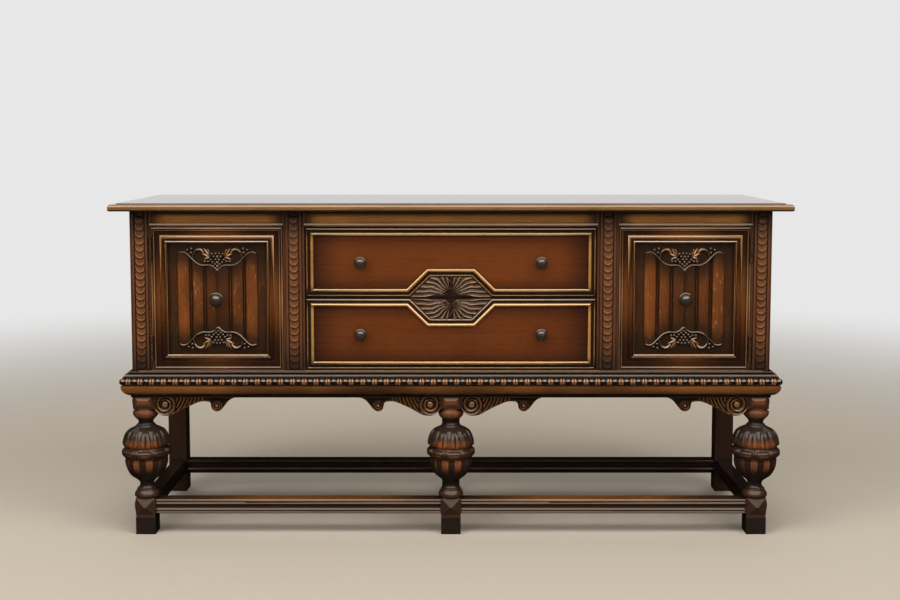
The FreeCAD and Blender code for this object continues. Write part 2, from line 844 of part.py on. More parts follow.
# Across the panel from its middle, then forward from its face, as shares of the folds' reach and height
crest_share = 1.35
fold_shares = [
    (-1.0, 0), (-0.86, 1.0, -0.72, 0), (-0.61, 0), (-0.48, 1.0, -0.35, 0), (-0.27, 0),
    (-0.20, 0.9, -0.03, 1.0), (0, crest_share), (0.03, 1.0), (0.20, 0.9, 0.27, 0),
    (0.35, 0), (0.48, 1.0, 0.61, 0), (0.72, 0), (0.86, 1.0, 1.0, 0),
]

# Radius share, then length share, from the knob's foot to its crown
knob_foot_share = 0.62
knob_shares = [
    (0, 0), (knob_foot_share, 0), (knob_foot_share, 0.10), (0.45, 0.16), (0.36, 0.30, 0.50, 0.44),
    (0.94, 0.52), (1.0, 0.60, 0.94, 0.68), (0.80, 0.71), (0.66, 0.88, 0.20, 1.0), (0, 1.0),
]


def tracery_outline(middle, edge, direction, spare):
    """The applied carving's outline: a straight edge and a serpentine that ends in a centre point."""
    return traced(tracery_shares, lambda share: middle + (tracery_reach + spare) * share,
                  lambda share: edge + (tracery_drop + spare) * share * direction)


def linenfold_section(middle):
    """Round folds either side of a ridged centre fold, forward of the panel's face."""
    folds = traced(fold_shares, lambda share: middle + fold_reach * share,
                   lambda share: panel_face - s.fold_height * share)
    rear = panel_face + s.panel_thick
    left = middle - sight_half - s.panel_tongue
    right = middle + sight_half + s.panel_tongue
    return [(left, rear), (left, panel_face)] + folds + [(right, panel_face), (right, rear)]


def knobs(label, radius, length, columns, y, z):
    """Turned knobs that face forward: foot, neck and ringed dome."""
    made = []
    for x in columns:
        body = new_body()
        turned(body, "XY_Plane", traced(knob_shares, lambda share: radius * share,
                                        lambda share: length * share))
        made.append(place(body, x, y, z, FreeCAD.Rotation(FreeCAD.Vector(1, 0, 0), 180)))
    node(label, made[0] if len(made) == 1 else group(made))


def doors():
    member = s.door_member
    for name, side in sides.items():
        near_x, far_x = span(side, door_near, door_far)
        middle = side * door_middle
        prefix = "door_%s_" % name
        node(prefix + "frame", door_frame(near_x, far_x))
        inner = rectangle((near_x + member, far_x - member), (door_foot + member, door_top - member))
        outer_in = member - s.door_moulding_width
        outer = rectangle((near_x + outer_in, far_x - outer_in), (door_foot + outer_in, door_top - outer_in))
        moulding = ring(outer, inner, step_face, s.door_moulding_height, s.door_moulding_round)
        node(prefix + "moulding", moulding)
        panel = new_body()
        half_tall = sight_height / 2 + s.panel_tongue
        pad(panel, "XY_Plane", [linenfold_section(middle)], half_tall * 2, door_centre - half_tall)
        crest = s.fold_height * crest_share
        edges = ((door_top - member, -1), (door_foot + member, 1))
        grounds = []
        carvings = []
        for edge, direction in edges:
            ground = new_body()
            path = tracery_outline(middle, edge, direction, s.tracery_clearance)
            pad(ground, "XZ_Plane", [path], crest, -panel_face)
            grounds.append(ground)
            carving = new_body()
            path = tracery_outline(middle, edge, direction, 0)
            pad(carving, "XZ_Plane", [path], s.tracery_thick, -panel_face)
            carvings.append(carving)
        seat = rod(middle, panel_face - crest, door_centre,
                   s.door_knob_radius * knob_foot_share + s.seat_clearance, crest, "y")
        margins = [block((near_x, far_x), (panel_face - crest, panel_face), levels)
                   for levels in ((door_foot, door_foot + member), (door_top - member, door_top))]
        node(prefix + "panel", cut(panel, grounds + [seat] + margins))
        node(prefix + "tracery", group(carvings))
        knobs(prefix + "knob", s.door_knob_radius, s.door_knob_length + s.panel_setback, [middle], panel_face,
              door_centre)


# How far a hinge's ball tip stands off the barrel, as a share of the ball's radius
ball_share = 0.8


def hinges():
    """Two butt hinges on the outer edge of each door: leaves, three knuckles and a ball-tipped pin."""
    fixed = []
    pins = []
    axis_y = face - s.hinge_proud
    axis_x = door_bay_out - s.door_gap / 2
    for name, side in sides.items():
        moving = []
        for foot in (lower_hinge_foot, upper_hinge_foot):
            third = s.hinge_height / 3
            knuckles = (("fixed", foot, foot + third - s.hinge_slack),
                        ("moving", foot + third, foot + third * 2),
                        ("fixed", foot + third * 2 + s.hinge_slack, foot + s.hinge_height))
            leaf_x = {"fixed": span(side, door_bay_out - s.hinge_leaf, door_bay_out),
                      "moving": span(side, door_far, door_far + s.hinge_leaf)}
            parts = {"fixed": [], "moving": []}
            for kind, low, high in knuckles:
                parts[kind].append(rod(side * axis_x, axis_y, low, s.hinge_barrel, high - low))
                parts[kind].append(block(leaf_x[kind], (axis_y, face), (low, high)))
            for kind, solids in parts.items():
                leaf = block(leaf_x[kind], (face, face + s.door_thick), (foot, foot + s.hinge_height))
                bore = rod(side * axis_x, axis_y, foot, s.hinge_bore, s.hinge_height)
                made = cut(joined([leaf] + solids), [bore])
                (fixed if kind == "fixed" else moving).append(made)
            reach = s.hinge_ball * ball_share
            length = s.hinge_height + reach * 2
            pins.append(joined([rod(side * axis_x, axis_y, foot - reach, s.hinge_pin, length),
                                ball(side * axis_x, axis_y, foot - reach, s.hinge_ball),
                                ball(side * axis_x, axis_y, foot - reach + length, s.hinge_ball)]))
        node("door_%s_hinge_leaves" % name, group(moving))
    node("hinge_leaves_case", group(fixed))
    node("hinge_pins", group(pins))


def catches():
    """A ball catch on each partition that stops the door's free edge."""
    made = []
    rear_gap = inside_front + s.seat_clearance
    foot = upper_hinge_foot + s.hinge_height / 2
    for side in sides.values():
        x = span(side, partition_out, inner_pilaster_out + s.catch_length)
        housing = block(x, (rear_gap + s.catch_ball / 2, inside_front + s.catch_width),
                        (foot, foot + s.catch_height))
        tip = ball(side * (inner_pilaster_out + s.catch_length / 2), rear_gap + s.catch_ball,
                   foot + s.catch_height / 2, s.catch_ball)
        made.append(joined([housing, tip]))
    node("door_catches", group(made))


# Drawers

def front_outline(inset, edge, far, direction):
    """A drawer front's outline at an inset, stepping round half of the hexagonal medallion."""
    inset = known(inset)
    half = drawer_half - s.drawer_gap
    diagonal_share = math.sqrt(2) - 1
    corner_share = math.tan(math.pi / 8)
    tip = s.medallion_flat + s.medallion_height + inset * diagonal_share
    flat = s.medallion_flat + inset * corner_share
    low = edge + inset * direction
    high = edge + (s.medallion_height + inset) * direction
    top = far - inset * direction
    return [(inset - half, top), (inset - half, low), (-tip, low), (-flat, high), (flat, high), (tip, low),
            (half - inset, low), (half - inset, top)]


def drawer(name, edge, far, direction, box_foot, box_top):
    """One drawer. Its edge is the line between the drawers, where its half of the medallion stands."""
    prefix = "drawer_%s_" % name
    half = drawer_half - s.drawer_gap
    low, high = (edge, far) if direction > 0 else (far, edge)
    board_face = face + s.front_recess
    board_back = face + s.drawer_front_thick
    box_back = inside_back - s.drawer_back_gap
    side_thick = s.drawer_side_thick
    lap_start = board_back - s.drawer_side_lap
    box_sides = [block(span(side, half - side_thick, half), (lap_start, box_back), (box_foot, box_top))
                 for side in sides.values()]
    groove = block((side_thick - half - s.drawer_groove, half - side_thick + s.drawer_groove),
                   (board_back - s.drawer_groove, box_back),
                   (box_foot + s.drawer_bottom_rise, box_foot + s.drawer_bottom_rise + s.drawer_bottom_thick))
    board = block((-half, half), (board_face, board_back), (low, high))
    node(prefix + "front", cut(board, box_sides + [groove]))
    node(prefix + "sides", group([cut(box_side, [groove]) for box_side in box_sides]))
    node(prefix + "bottom", groove)
    node(prefix + "back", block((side_thick - half, half - side_thick),
                                (box_back - s.drawer_back_thick, box_back),
                                (box_foot + s.drawer_bottom_rise + s.drawer_bottom_thick, box_top)))
    rings = []
    cock_bead = (s.cock_bead_inset, s.cock_bead_width, s.cock_bead_height, s.cock_bead_round)
    field = (s.field_moulding_inset, s.field_moulding_width, s.field_moulding_height, s.field_moulding_round)
    for inset, width, height, rounding in (cock_bead, field):
        outer = front_outline(inset, edge, far, direction)
        inner = front_outline(inset + width, edge, far, direction)
        rings.append(ring(outer, inner, board_face, height, rounding))
    node(prefix + "moulding", group(rings))
    tip = s.medallion_flat + s.medallion_height
    rim = edge + s.medallion_height * direction
    medallion = new_body()
    path = [(-tip, edge), (-s.medallion_flat, rim), (s.medallion_flat, rim), (tip, edge)]
    pad(medallion, "XZ_Plane", [path], s.medallion_thick, -board_face)
    dress(medallion, "Chamfer", s.medallion_bevel, "y", board_face - s.medallion_thick)
    node(prefix + "medallion", medallion)
    knobs(prefix + "knobs", s.drawer_knob_radius, s.drawer_knob_length,
          [-s.drawer_knob_offset, s.drawer_knob_offset], board_face, (low + high) / 2)


def drawers():
    upper_edge = drawer_split + s.drawer_gap / 2
    lower_edge = drawer_split - s.drawer_gap / 2
    drawer("upper", upper_edge, opening_top - s.door_gap, 1,
           drawer_split + s.runner_thick / 2 + s.seat_clearance,
           opening_top - s.kicker_height / 2 - s.drawer_top_clearance)
    drawer("lower", lower_edge, s.case_floor + s.drawer_gap, -1,
           s.case_floor + s.wear_strip + s.seat_clearance,
           drawer_split - s.runner_thick / 2 - s.drawer_top_clearance)


top_board()
ends_and_partitions()
floor_and_back()
rails()
pilasters()
drawer_support()
base_mouldings()
bead_strings()
legs()
stand_rails()
stretchers()
brackets()
doors()
hinges()
catches()
drawers()
doc.recompute()

failed = [thing.Name for thing in doc.Objects if "Invalid" in thing.State or "Error" in thing.State]
for label, thing in nodes.items():
    if thing.Shape.isNull() or not thing.Shape.isValid() or not thing.Shape.Solids:
        failed.append(label)
if failed:
    raise RuntimeError("not built: " + ", ".join(failed))

os.makedirs("parts", exist_ok=True)
for label, thing in nodes.items():
    thing.Shape.exportStep("parts/%s.step" % label)
print(len(nodes), "sub-parts written")
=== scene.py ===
import math
from functools import partialmethod
import bpy
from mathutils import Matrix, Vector


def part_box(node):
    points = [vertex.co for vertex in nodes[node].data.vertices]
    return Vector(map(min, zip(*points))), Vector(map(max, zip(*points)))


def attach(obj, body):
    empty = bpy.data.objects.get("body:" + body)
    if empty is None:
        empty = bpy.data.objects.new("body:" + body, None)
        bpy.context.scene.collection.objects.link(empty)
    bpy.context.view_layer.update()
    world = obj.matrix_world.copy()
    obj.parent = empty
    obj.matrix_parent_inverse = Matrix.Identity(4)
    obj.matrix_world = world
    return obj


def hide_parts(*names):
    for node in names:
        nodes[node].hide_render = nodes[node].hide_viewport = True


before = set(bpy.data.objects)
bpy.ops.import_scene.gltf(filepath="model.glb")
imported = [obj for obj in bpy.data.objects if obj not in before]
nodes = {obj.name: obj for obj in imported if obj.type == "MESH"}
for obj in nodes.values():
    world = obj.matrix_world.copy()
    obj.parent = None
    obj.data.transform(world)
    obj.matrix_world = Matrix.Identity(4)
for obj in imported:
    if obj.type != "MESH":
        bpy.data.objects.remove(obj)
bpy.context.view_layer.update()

# A carved sideboard, dressed over its construction. Metres, front towards -Y, +Z up.
# Values named for a size on the piece are in mm, places in the scene in metres.

mm = 0.001
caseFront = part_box("pilaster_outer_left")[0].y
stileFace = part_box("door_left_frame")[0].y
print("frame loaded:", len(nodes), "pieces")


def selectOnly(piece):
    bpy.ops.object.select_all(action="DESELECT")
    if piece:
        piece.select_set(True)
        bpy.context.view_layer.objects.active = piece
    return piece


def joinAll(pieces, name):
    selectOnly(pieces[0])
    for piece in pieces:
        piece.select_set(True)
    if len(pieces) > 1:
        bpy.ops.object.join()
    pieces[0].name = name
    return pieces[0]


def copyOf(piece):
    twin = piece.copy()
    twin.data = piece.data.copy()
    bpy.context.scene.collection.objects.link(twin)
    return twin


def moved(piece, x=0, y=0, z=0):
    for vertex in piece.data.vertices:
        vertex.co += Vector((x, y, z))
    return piece


def startEdit(piece, mode="VERT", action="SELECT"):
    # edit mode on the piece, with all of it selected or nothing
    selectOnly(piece)
    bpy.ops.object.mode_set(mode="EDIT")
    bpy.ops.mesh.select_mode(type=mode)
    bpy.ops.mesh.select_all(action=action)


def endEdit(piece):
    # normals outwards, then back to object mode
    bpy.ops.mesh.select_all(action="SELECT")
    bpy.ops.mesh.normals_make_consistent(inside=False)
    bpy.ops.object.mode_set(mode="OBJECT")
    return piece


def tidyMesh(piece, merge=0.00001):
    startEdit(piece)
    bpy.ops.mesh.remove_doubles(threshold=merge)
    return endEdit(piece)


def mirrored(piece, axis):
    # a twin reversed about x = 0 or z = 0
    twin = copyOf(piece)
    for vertex in twin.data.vertices:
        vertex.co[axis] = -vertex.co[axis]
    return tidyMesh(twin)


def smoothShade(piece, angle):
    selectOnly(piece)
    bpy.ops.object.shade_smooth_by_angle(angle=math.radians(angle))
    return piece


def storeGlow(piece, share):
    # how far the stain is rubbed through, on some pieces painted light and shade as well, kept on the piece's
    # own points
    glow = piece.data.attributes.new("glow", "FLOAT", "POINT")
    for place, vertex in zip(glow.data, piece.data.vertices):
        place.value = share(vertex.co / mm)
    return piece


def carvedGrid(name, columns, rows, shape):
    # a grid primitive whose points are carved to shape(across, along), both from 0 to 1
    selectOnly(None)
    bpy.ops.mesh.primitive_grid_add(x_subdivisions=columns, y_subdivisions=rows, size=2)
    piece = bpy.context.object
    piece.name = name
    for vertex in piece.data.vertices:
        vertex.co = shape((vertex.co.x + 1) / 2, (vertex.co.y + 1) / 2)
    return piece


def closeBack(piece, push):
    # the open edge is pushed back and capped
    startEdit(piece, "EDGE", "DESELECT")
    bpy.ops.mesh.select_non_manifold()
    bpy.ops.mesh.extrude_edges_move(TRANSFORM_OT_translate={"value": push})
    bpy.ops.mesh.edge_face_add()
    return endEdit(piece)


def rod(name, points, radii, flat, sides=8):
    # a carved rod through points, thick as radii, deepened or flattened front to back
    curve = bpy.data.curves.new(name, "CURVE")
    curve.dimensions = "3D"
    curve.bevel_depth = 1.0
    curve.bevel_resolution = sides // 2 - 2
    curve.resolution_u = 4
    curve.use_fill_caps = True
    spline = curve.splines.new("NURBS")
    spline.points.add(len(points) - 1)
    for point, (x, y, z), radius in zip(spline.points, points, radii):
        point.co = (x, y, z, 1)
        point.radius = radius
    spline.order_u = 3
    spline.use_endpoint_u = True
    piece = bpy.data.objects.new(name, curve)
    bpy.context.scene.collection.objects.link(piece)
    selectOnly(piece)
    bpy.ops.object.convert(target="MESH")
    middle = sum(y for _, y, _ in points) / len(points)
    for vertex in piece.data.vertices:
        x, y, z = vertex.co
        vertex.co = (x * mm, (middle + (y - middle) * flat) * mm, z * mm)
    return piece


def berry(x, y, z, radius, flat=0.85):
    selectOnly(None)
    bpy.ops.mesh.primitive_uv_sphere_add(segments=12, ring_count=7, radius=radius * mm)
    piece = bpy.context.object
    for vertex in piece.data.vertices:
        vertex.co = (vertex.co.x + x * mm, vertex.co.z * flat + y * mm, vertex.co.y + z * mm)
    return tidyMesh(piece)


def rectangle(low, high, inset):
    return [(low.x + inset, low.z + inset), (high.x - inset, low.z + inset),
            (high.x - inset, high.z - inset), (low.x + inset, high.z - inset)]


def mitredMoulding(name, corners, plane, section):
    # a flat outline stepped inwards by (across, forward) pairs, then hollowed and closed behind
    selectOnly(None)
    bpy.ops.mesh.primitive_circle_add(vertices=len(corners), radius=1, fill_type="NGON")
    piece = bpy.context.object
    piece.name = name
    for vertex, (x, z) in zip(piece.data.vertices, corners):
        vertex.co = (x, plane, z)
    startEdit(piece, "FACE")
    for across, forward in section:
        bpy.ops.mesh.inset(thickness=across * mm, depth=forward * mm, use_even_offset=True)
    bpy.ops.mesh.delete(type="FACE")
    bpy.ops.mesh.select_mode(type="EDGE")
    bpy.ops.mesh.select_all(action="DESELECT")
    bpy.ops.mesh.select_non_manifold()
    bpy.ops.mesh.bridge_edge_loops()
    return endEdit(piece)


def bar(name, start, end, section, back):
    # a straight length along X; section holds (height, forward) rows from top to bottom, closed behind
    def shape(across, along):
        height, forward = section[round(along * (len(section) - 1))]
        return Vector((start + (end - start) * across, -forward, height)) * mm

    return closeBack(carvedGrid(name, 1, len(section) - 1, shape), (0, back * mm, 0))


def blendBetween(value, low, high):
    share = min(1.0, max(0.0, (value - low) / (high - low)))
    return share * share * (3 - 2 * share)


def alongTable(table, place):
    # a straight read of a table of (place, value) rows
    for (left, leftValue), (right, rightValue) in zip(table, table[1:]):
        if place <= right:
            return leftValue + (rightValue - leftValue) * (place - left) / (right - left)
    return table[-1][1]


def throughPoints(points, steps):
    # a smooth run of rows through the points
    rows = [points[0]]
    last = len(points) - 1
    for index in range(last):
        corners = [points[min(max(index + step, 0), last)] for step in (-1, 0, 1, 2)]
        for step in range(1, steps + 1):
            t = step / steps
            rows.append(tuple(0.5 * (2 * b + (c - a) * t + (2 * a - 5 * b + 4 * c - d) * t * t
                                     + (3 * b - a - 3 * c + d) * t ** 3) for a, b, c, d in zip(*corners)))
    return rows


class Link:
    # a socket that adds Math nodes as it is used in a sum
    def __init__(self, sheet, socket):
        self.sheet = sheet
        self.socket = socket

    def maths(self, operation, other=0.0, clamp=False):
        return self.sheet.add("Math", {"operation": operation, "use_clamp": clamp}, {0: self, 1: other})

    def __rsub__(self, other):
        return self.sheet.add("Math", {"operation": "SUBTRACT"}, {0: other, 1: self})

    __add__ = partialmethod(maths, "ADD")
    __sub__ = partialmethod(maths, "SUBTRACT")
    __mul__ = partialmethod(maths, "MULTIPLY")
    __rmul__ = __mul__
    __truediv__ = partialmethod(maths, "DIVIDE")
    __pow__ = partialmethod(maths, "POWER")
    size = partialmethod(maths, "ABSOLUTE")
    share = partialmethod(maths, "FRACT")
    held = partialmethod(maths, "ADD", 0.0, True)
    most = partialmethod(maths, "MAXIMUM")

    def between(self, low, high):
        # 0 at low, 1 at high, smooth in between
        settings = {"interpolation_type": "SMOOTHSTEP"}
        return self.sheet.add("MapRange", settings, {"Value": self, "From Min": low, "From Max": high})


class Sheet:
    # a node tree that is written in sums
    def __init__(self, tree, output="Object"):
        self.tree = tree
        place = tree.nodes.new("ShaderNodeTexCoord")
        self.place = Link(self, place.outputs[output])
        split = tree.nodes.new("ShaderNodeSeparateXYZ")
        tree.links.new(place.outputs[output], split.inputs[0])
        self.x, self.y, self.z = (Link(self, socket) for socket in split.outputs)

    def feed(self, socket, value):
        # a link, a number or vector, or a colour of three shares
        if isinstance(value, Link):
            self.tree.links.new(value.socket, socket)
        else:
            socket.default_value = (*value, 1) if socket.type == "RGBA" else value

    def add(self, kind, settings, inputs, output=0):
        node = self.tree.nodes.new("ShaderNode" + kind)
        for name, value in settings.items():
            setattr(node, name, value)
        for name, value in inputs.items():
            self.feed(node.inputs[name], value)
        return Link(self, node.outputs[output])

    def mixed(self, factor, first, second):
        return self.add("Mix", {"data_type": "RGBA"}, {0: factor, 6: first, 7: second}, 2)

    def noise(self, scale, detail, roughness):
        place = self.add("VectorMath", {"operation": "MULTIPLY"}, {0: self.place, 1: scale})
        inputs = {"Vector": place, "Scale": 1.0, "Detail": detail, "Roughness": roughness}
        return self.add("TexNoise", {}, inputs)

    def openness(self, distance, inside=False):
        # 1 in the open, towards 0 in a recess, or on an edge when it looks inside
        return self.add("AmbientOcclusion", {"samples": 6, "inside": inside}, {"Distance": distance}, 1)

    def upward(self):
        # how far the surface faces up
        normal = self.add("NewGeometry", {}, {}, "Normal")
        return self.add("SeparateXYZ", {}, {0: normal}, "Z")


class Finish(Sheet):
    # one material
    def __init__(self, name):
        self.material = bpy.data.materials.new(name)
        self.material.use_nodes = True
        super().__init__(self.material.node_tree)
        self.shader = self.tree.nodes["Principled BSDF"]

    def set(self, **inputs):
        for name, value in inputs.items():
            self.feed(self.shader.inputs[name.replace("_", " ")], value)

    def bumped(self, height, strength, distance):
        self.set(Normal=self.add("Bump", {}, {"Height": height, "Strength": strength, "Distance": distance}))


# Stained wood: toner, the dark spray in recesses that also stands for painted shade there; body the stain;
# glow where it is rubbed through or painted lit
woodLook = {
    "grain": "x",
    "tonerAndShade": (0.0065, 0.0040, 0.0026),
    "body": (0.022, 0.009, 0.005),
    "glow": (0.100, 0.034, 0.011),
    "amount": 0.35,
    "edge": None,
    "edgeReach": 0.0020,
    "edgeFade": 0.0,
    "crown": None,
    "crownTilt": (0.22, 0.42),
    "relief": None,
    "ground": 0.0,
    "reach": 0.012,
    "deep": 1.3,
    "cloud": (4.5, 4.5, 4.5),
    "cloudy": 1.0,
    "flecks": 0.0,
    "fleckColour": (0.36, 0.15, 0.035),
    "rough": 0.30,
    "coat": 0.30,
    "coatRough": 0.14,
    "coatIor": 1.5,
    "specular": 0.35,
    "streak": 0.75,
}


# Scale of each pattern in the wood, along its grain and across it
grainScale = {"streaks": (3.5, 130.0), "pores": (26.0, 900.0), "flecks": (45.0, 230.0)}


def alongGrain(axis, pattern):
    along, across = grainScale[pattern]
    return tuple(along if name == axis else across for name in "xyz")


def woodFinish(name, changes, mask=None):
    look = dict(woodLook, **changes)
    finish = Finish(name)
    streaks = finish.noise(alongGrain(look["grain"], "streaks"), 6.0, 0.62)
    cloud = finish.noise(look["cloud"], 3.0, 0.5)
    pores = finish.noise(alongGrain(look["grain"], "pores"), 2.0, 0.5).between(0.50, 0.34)
    shown = mask(finish) if mask else 1.0
    lit = shown * (streaks * look["streak"] + (1 - look["streak"] / 2)) * look["amount"]
    lit = (lit * (cloud * look["cloudy"] + (1 - look["cloudy"] / 2))).held()
    wood = finish.mixed(lit, look["body"], look["glow"])
    wood = finish.mixed(pores * 0.4, wood, look["tonerAndShade"])
    if look["flecks"]:
        spots = finish.noise(alongGrain(look["grain"], "flecks"), 3.0, 0.7).between(0.60, 0.68)
        wood = finish.mixed((spots * lit * look["flecks"]).held(), wood, look["fleckColour"])
    # dark toner in the recesses, partly painted shade: the more closed in or, with relief, the deeper the
    # surface, the darker
    clear = finish.openness(look["reach"]) ** look["deep"]
    if look["relief"]:
        clear = clear * (finish.y.between(*look["relief"]) * (1 - look["ground"]) + look["ground"])
    wood = finish.mixed(clear, look["tonerAndShade"], wood)
    # lighter arrises: rubbed wear, and a painted glint along each edge
    if look["edge"]:
        rubbedAndGlint = (1 - finish.openness(look["edgeReach"], True)).between(0.15, 0.60)
        kept = shown * look["edgeFade"] + (1 - look["edgeFade"])
        wood = finish.mixed(rubbedAndGlint * clear * kept * 0.7, wood, look["edge"])
    # painted highlight on faces that turn upwards
    if look["crown"]:
        wood = finish.mixed(finish.upward().between(*look["crownTilt"]) * clear, wood, look["crown"])
    finish.set(Base_Color=wood, Roughness=(streaks - 0.5) * 0.12 + pores * 0.12 + look["rough"],
               Specular_IOR_Level=look["specular"], Coat_Weight=look["coat"],
               Coat_Roughness=look["coatRough"], Coat_IOR=look["coatIor"])
    finish.bumped(streaks * 0.5 - pores, 0.14, 0.0005)
    return finish.material


def fromSides(finish, low, high):
    # how far inside the box, from its nearer end and from its nearer long edge
    middle = (low + high) / 2
    half = (high - low) / 2
    return half.x - (finish.x - middle.x).size(), half.z - (finish.z - middle.z).size()


def nearCorner(low, high, start, end):
    # dark within start of a corner of the box, full glow past end
    def mask(finish):
        across, upwards = (inwards.most(0.0) for inwards in fromSides(finish, low, high))
        return ((across * across + upwards * upwards) ** 0.5).between(start, end)

    return mask


def insideBox(low, high, fadeX, fadeZ):
    # full glow in the middle of the box, dark along its edges, toner with painted shade beside the mouldings
    def mask(finish):
        across, upwards = fromSides(finish, low, high)
        return across.between(-0.01, fadeX) * upwards.between(-0.01, fadeZ)

    return mask


def dress(piece, material):
    piece.data.materials.clear()
    piece.data.materials.append(material)
    return piece


def finishPiece(piece, body, material, angle):
    smoothShade(piece, angle)
    dress(piece, material)
    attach(piece, body)
    return piece


# Camera, floor and light

photoView = {"away": 3.370, "aside": -0.0025, "height": 1.089, "pitch": 4.68, "lens": 50.09, "rise": -0.0665}
studio = {"floor": (0.46, 0.405, 0.325), "world": 0.42, "seen": 0.80}


def setCamera():
    place = (photoView["aside"], caseFront - photoView["away"], photoView["height"])
    bpy.ops.object.camera_add(location=place, rotation=(math.radians(90 - photoView["pitch"]), 0, 0))
    camera = bpy.context.object
    camera.data.lens = photoView["lens"]
    camera.data.shift_y = photoView["rise"]
    bpy.context.scene.camera = camera


def softLight(name, place, aim, size, power, diffuse=True, glossy=True, tint=(1, 1, 1)):
    bpy.ops.object.light_add(type="AREA", location=place)
    lamp = bpy.context.object
    lamp.name = name
    lamp.rotation_euler = (Vector(aim) - Vector(place)).to_track_quat("-Z", "Y").to_euler()
    lamp.data.shape = "RECTANGLE"
    lamp.data.size, lamp.data.size_y = size
    lamp.data.energy = power
    lamp.data.color = tint
    lamp.visible_camera = False
    lamp.visible_diffuse = diffuse
    lamp.visible_glossy = glossy


def setFloor():
    selectOnly(None)
    bpy.ops.mesh.primitive_plane_add(size=60)
    floor = bpy.context.object
    floor.name = "floor"
    floor.visible_glossy = False
    paint = Finish("paleFloor")
    paint.set(Base_Color=studio["floor"], Roughness=0.7, Specular_IOR_Level=0.1)
    # far off the floor melts into the pale room
    away = ((paint.x * paint.x + paint.y * paint.y) ** 0.5).between(1.4, 5.0)
    seen = paint.add("LightPath", {}, {})
    pale = paint.add("Emission", {}, {"Color": (1, 1, 1), "Strength": studio["seen"]})
    surface = Link(paint, paint.shader.outputs[0])
    mixed = paint.add("MixShader", {}, {0: away * seen, 1: surface, 2: pale})
    paint.tree.links.new(mixed.socket, paint.tree.nodes["Material Output"].inputs[0])
    dress(floor, paint.material)


def setWorld():
    world = bpy.data.worlds.new("paleRoom")
    bpy.context.scene.world = world
    world.use_nodes = True
    world.cycles_visibility.glossy = False
    sky = Sheet(world.node_tree, "Generated")
    dim = sky.add("Background", {}, {"Color": (1.0, 0.98, 0.96), "Strength": studio["world"]})
    pale = sky.add("Background", {}, {"Color": (1, 1, 1), "Strength": studio["seen"]})
    seen = sky.add("LightPath", {}, {})
    mixed = sky.add("MixShader", {}, {0: seen, 1: dim, 2: pale})
    sky.tree.links.new(mixed.socket, sky.tree.nodes["World Output"].inputs[0])


def setLights():
    # soft daylight for the colours, and pale ceiling and wall for the polish alone
    softLight("overheadLight", (0, -1.3, 2.7), (0, -0.25, 0.5), (4.6, 1.3), 88, glossy=False)
    softLight("leftLight", (-2.4, -3.0, 2.0), (0, 0, 0.6), (1.6, 1.6), 40, glossy=False)
    softLight("rightLight", (2.4, -3.0, 2.0), (0, 0, 0.6), (1.6, 1.6), 32, glossy=False)
    softLight("backLight", (0, 2.6, 2.2), (0, 0, 0.6), (2.5, 1.2), 30, glossy=False)
    softLight("ceilingShine", (0, -2.8, 2.7), (0, -2.79, 0), (6.5, 4.4), 290, diffuse=False,
              tint=(1, 0.85, 0.70))
    softLight("wallShine", (0, 0.45, 1.9), (0, 0, 1.9), (6.0, 2.0), 25, diffuse=False)


setCamera()
setFloor()
setWorld()
setLights()
bpy.context.scene.view_settings.view_transform = "Standard"
print("camera, floor and light are set")


# The construction's own pieces

# Edge colours: rubbed wear on the arrises that also stands for painted glints
ridge = (0.20, 0.115, 0.065)
goldRubAndGlint = (0.46, 0.26, 0.12)
paleRubAndGlint = (0.36, 0.25, 0.17)
plainLook = dict(
    body=(0.26, 0.15, 0.08), glow=(0.42, 0.27, 0.15), amount=0.5, rough=0.55, coat=0.0,
    tonerAndShade=(0.12, 0.065, 0.035))
darkLook = dict(amount=0.30, edge=ridge)
topLook = dict(
    body=(0.034, 0.015, 0.008), glow=(0.260, 0.130, 0.045), amount=0.7, edge=goldRubAndGlint, edgeReach=0.003,
    edgeFade=1.0, rough=0.16, coat=1.0, coatRough=0.07, coatIor=1.7)
friezeLook = dict(body=(0.036, 0.015, 0.007), glow=(0.370, 0.155, 0.032), amount=0.85, edge=goldRubAndGlint)
pilasterLook = dict(
    grain="z", body=(0.036, 0.015, 0.008), glow=(0.125, 0.038, 0.014), amount=0.8, edge=ridge)
baseLook = dict(
    body=(0.014, 0.008, 0.005), glow=(0.260, 0.095, 0.022), amount=0.8, edge=ridge, rough=0.2, coat=0.8)
stretcherLook = dict(
    body=(0.012, 0.007, 0.005), glow=(0.330, 0.125, 0.030), amount=0.9, rough=0.2, coat=0.45)
rearLook = dict(body=(0.012, 0.0075, 0.0050), glow=(0.030, 0.014, 0.009), amount=0.4)
rearLegLook = dict(rearLook, grain="z", body=(0.022, 0.012, 0.0070), glow=(0.060, 0.027, 0.013))
# Pieces in a plain finish: its name, its look, the grain's axis and the nodes
plainPieces = (
    ("plainOak", plainLook, "x", ("back_panel", "bottom_board", "rear_top_rails", "shelf_left",
                                  "shelf_right", "drawer_divider", "drawer_upper_back", "drawer_lower_back")),
    ("plainOak", plainLook, "y", ("drawer_runners", "drawer_upper_sides", "drawer_lower_sides",
                                  "drawer_upper_bottom", "drawer_lower_bottom")),
    ("plainOak", plainLook, "z", ("partition_left", "partition_right")),
    ("darkWood", darkLook, "x", ("stand_rails",)),
    ("darkWood", darkLook, "z", ("end_panel_left", "end_panel_right")),
    ("rearWood", rearLook, "x", ("stretchers_rear",)),
    ("rearWood", rearLook, "y", ("stretchers_side",)),
)
pilasters = ["pilaster_%s_%s" % (place, side) for place in ("outer", "inner") for side in ("left", "right")]
# Heights over which a pilaster's glow comes in and goes out
pilasterGlow = {"foot": (0.455, 0.565), "head": (0.905, 0.795)}


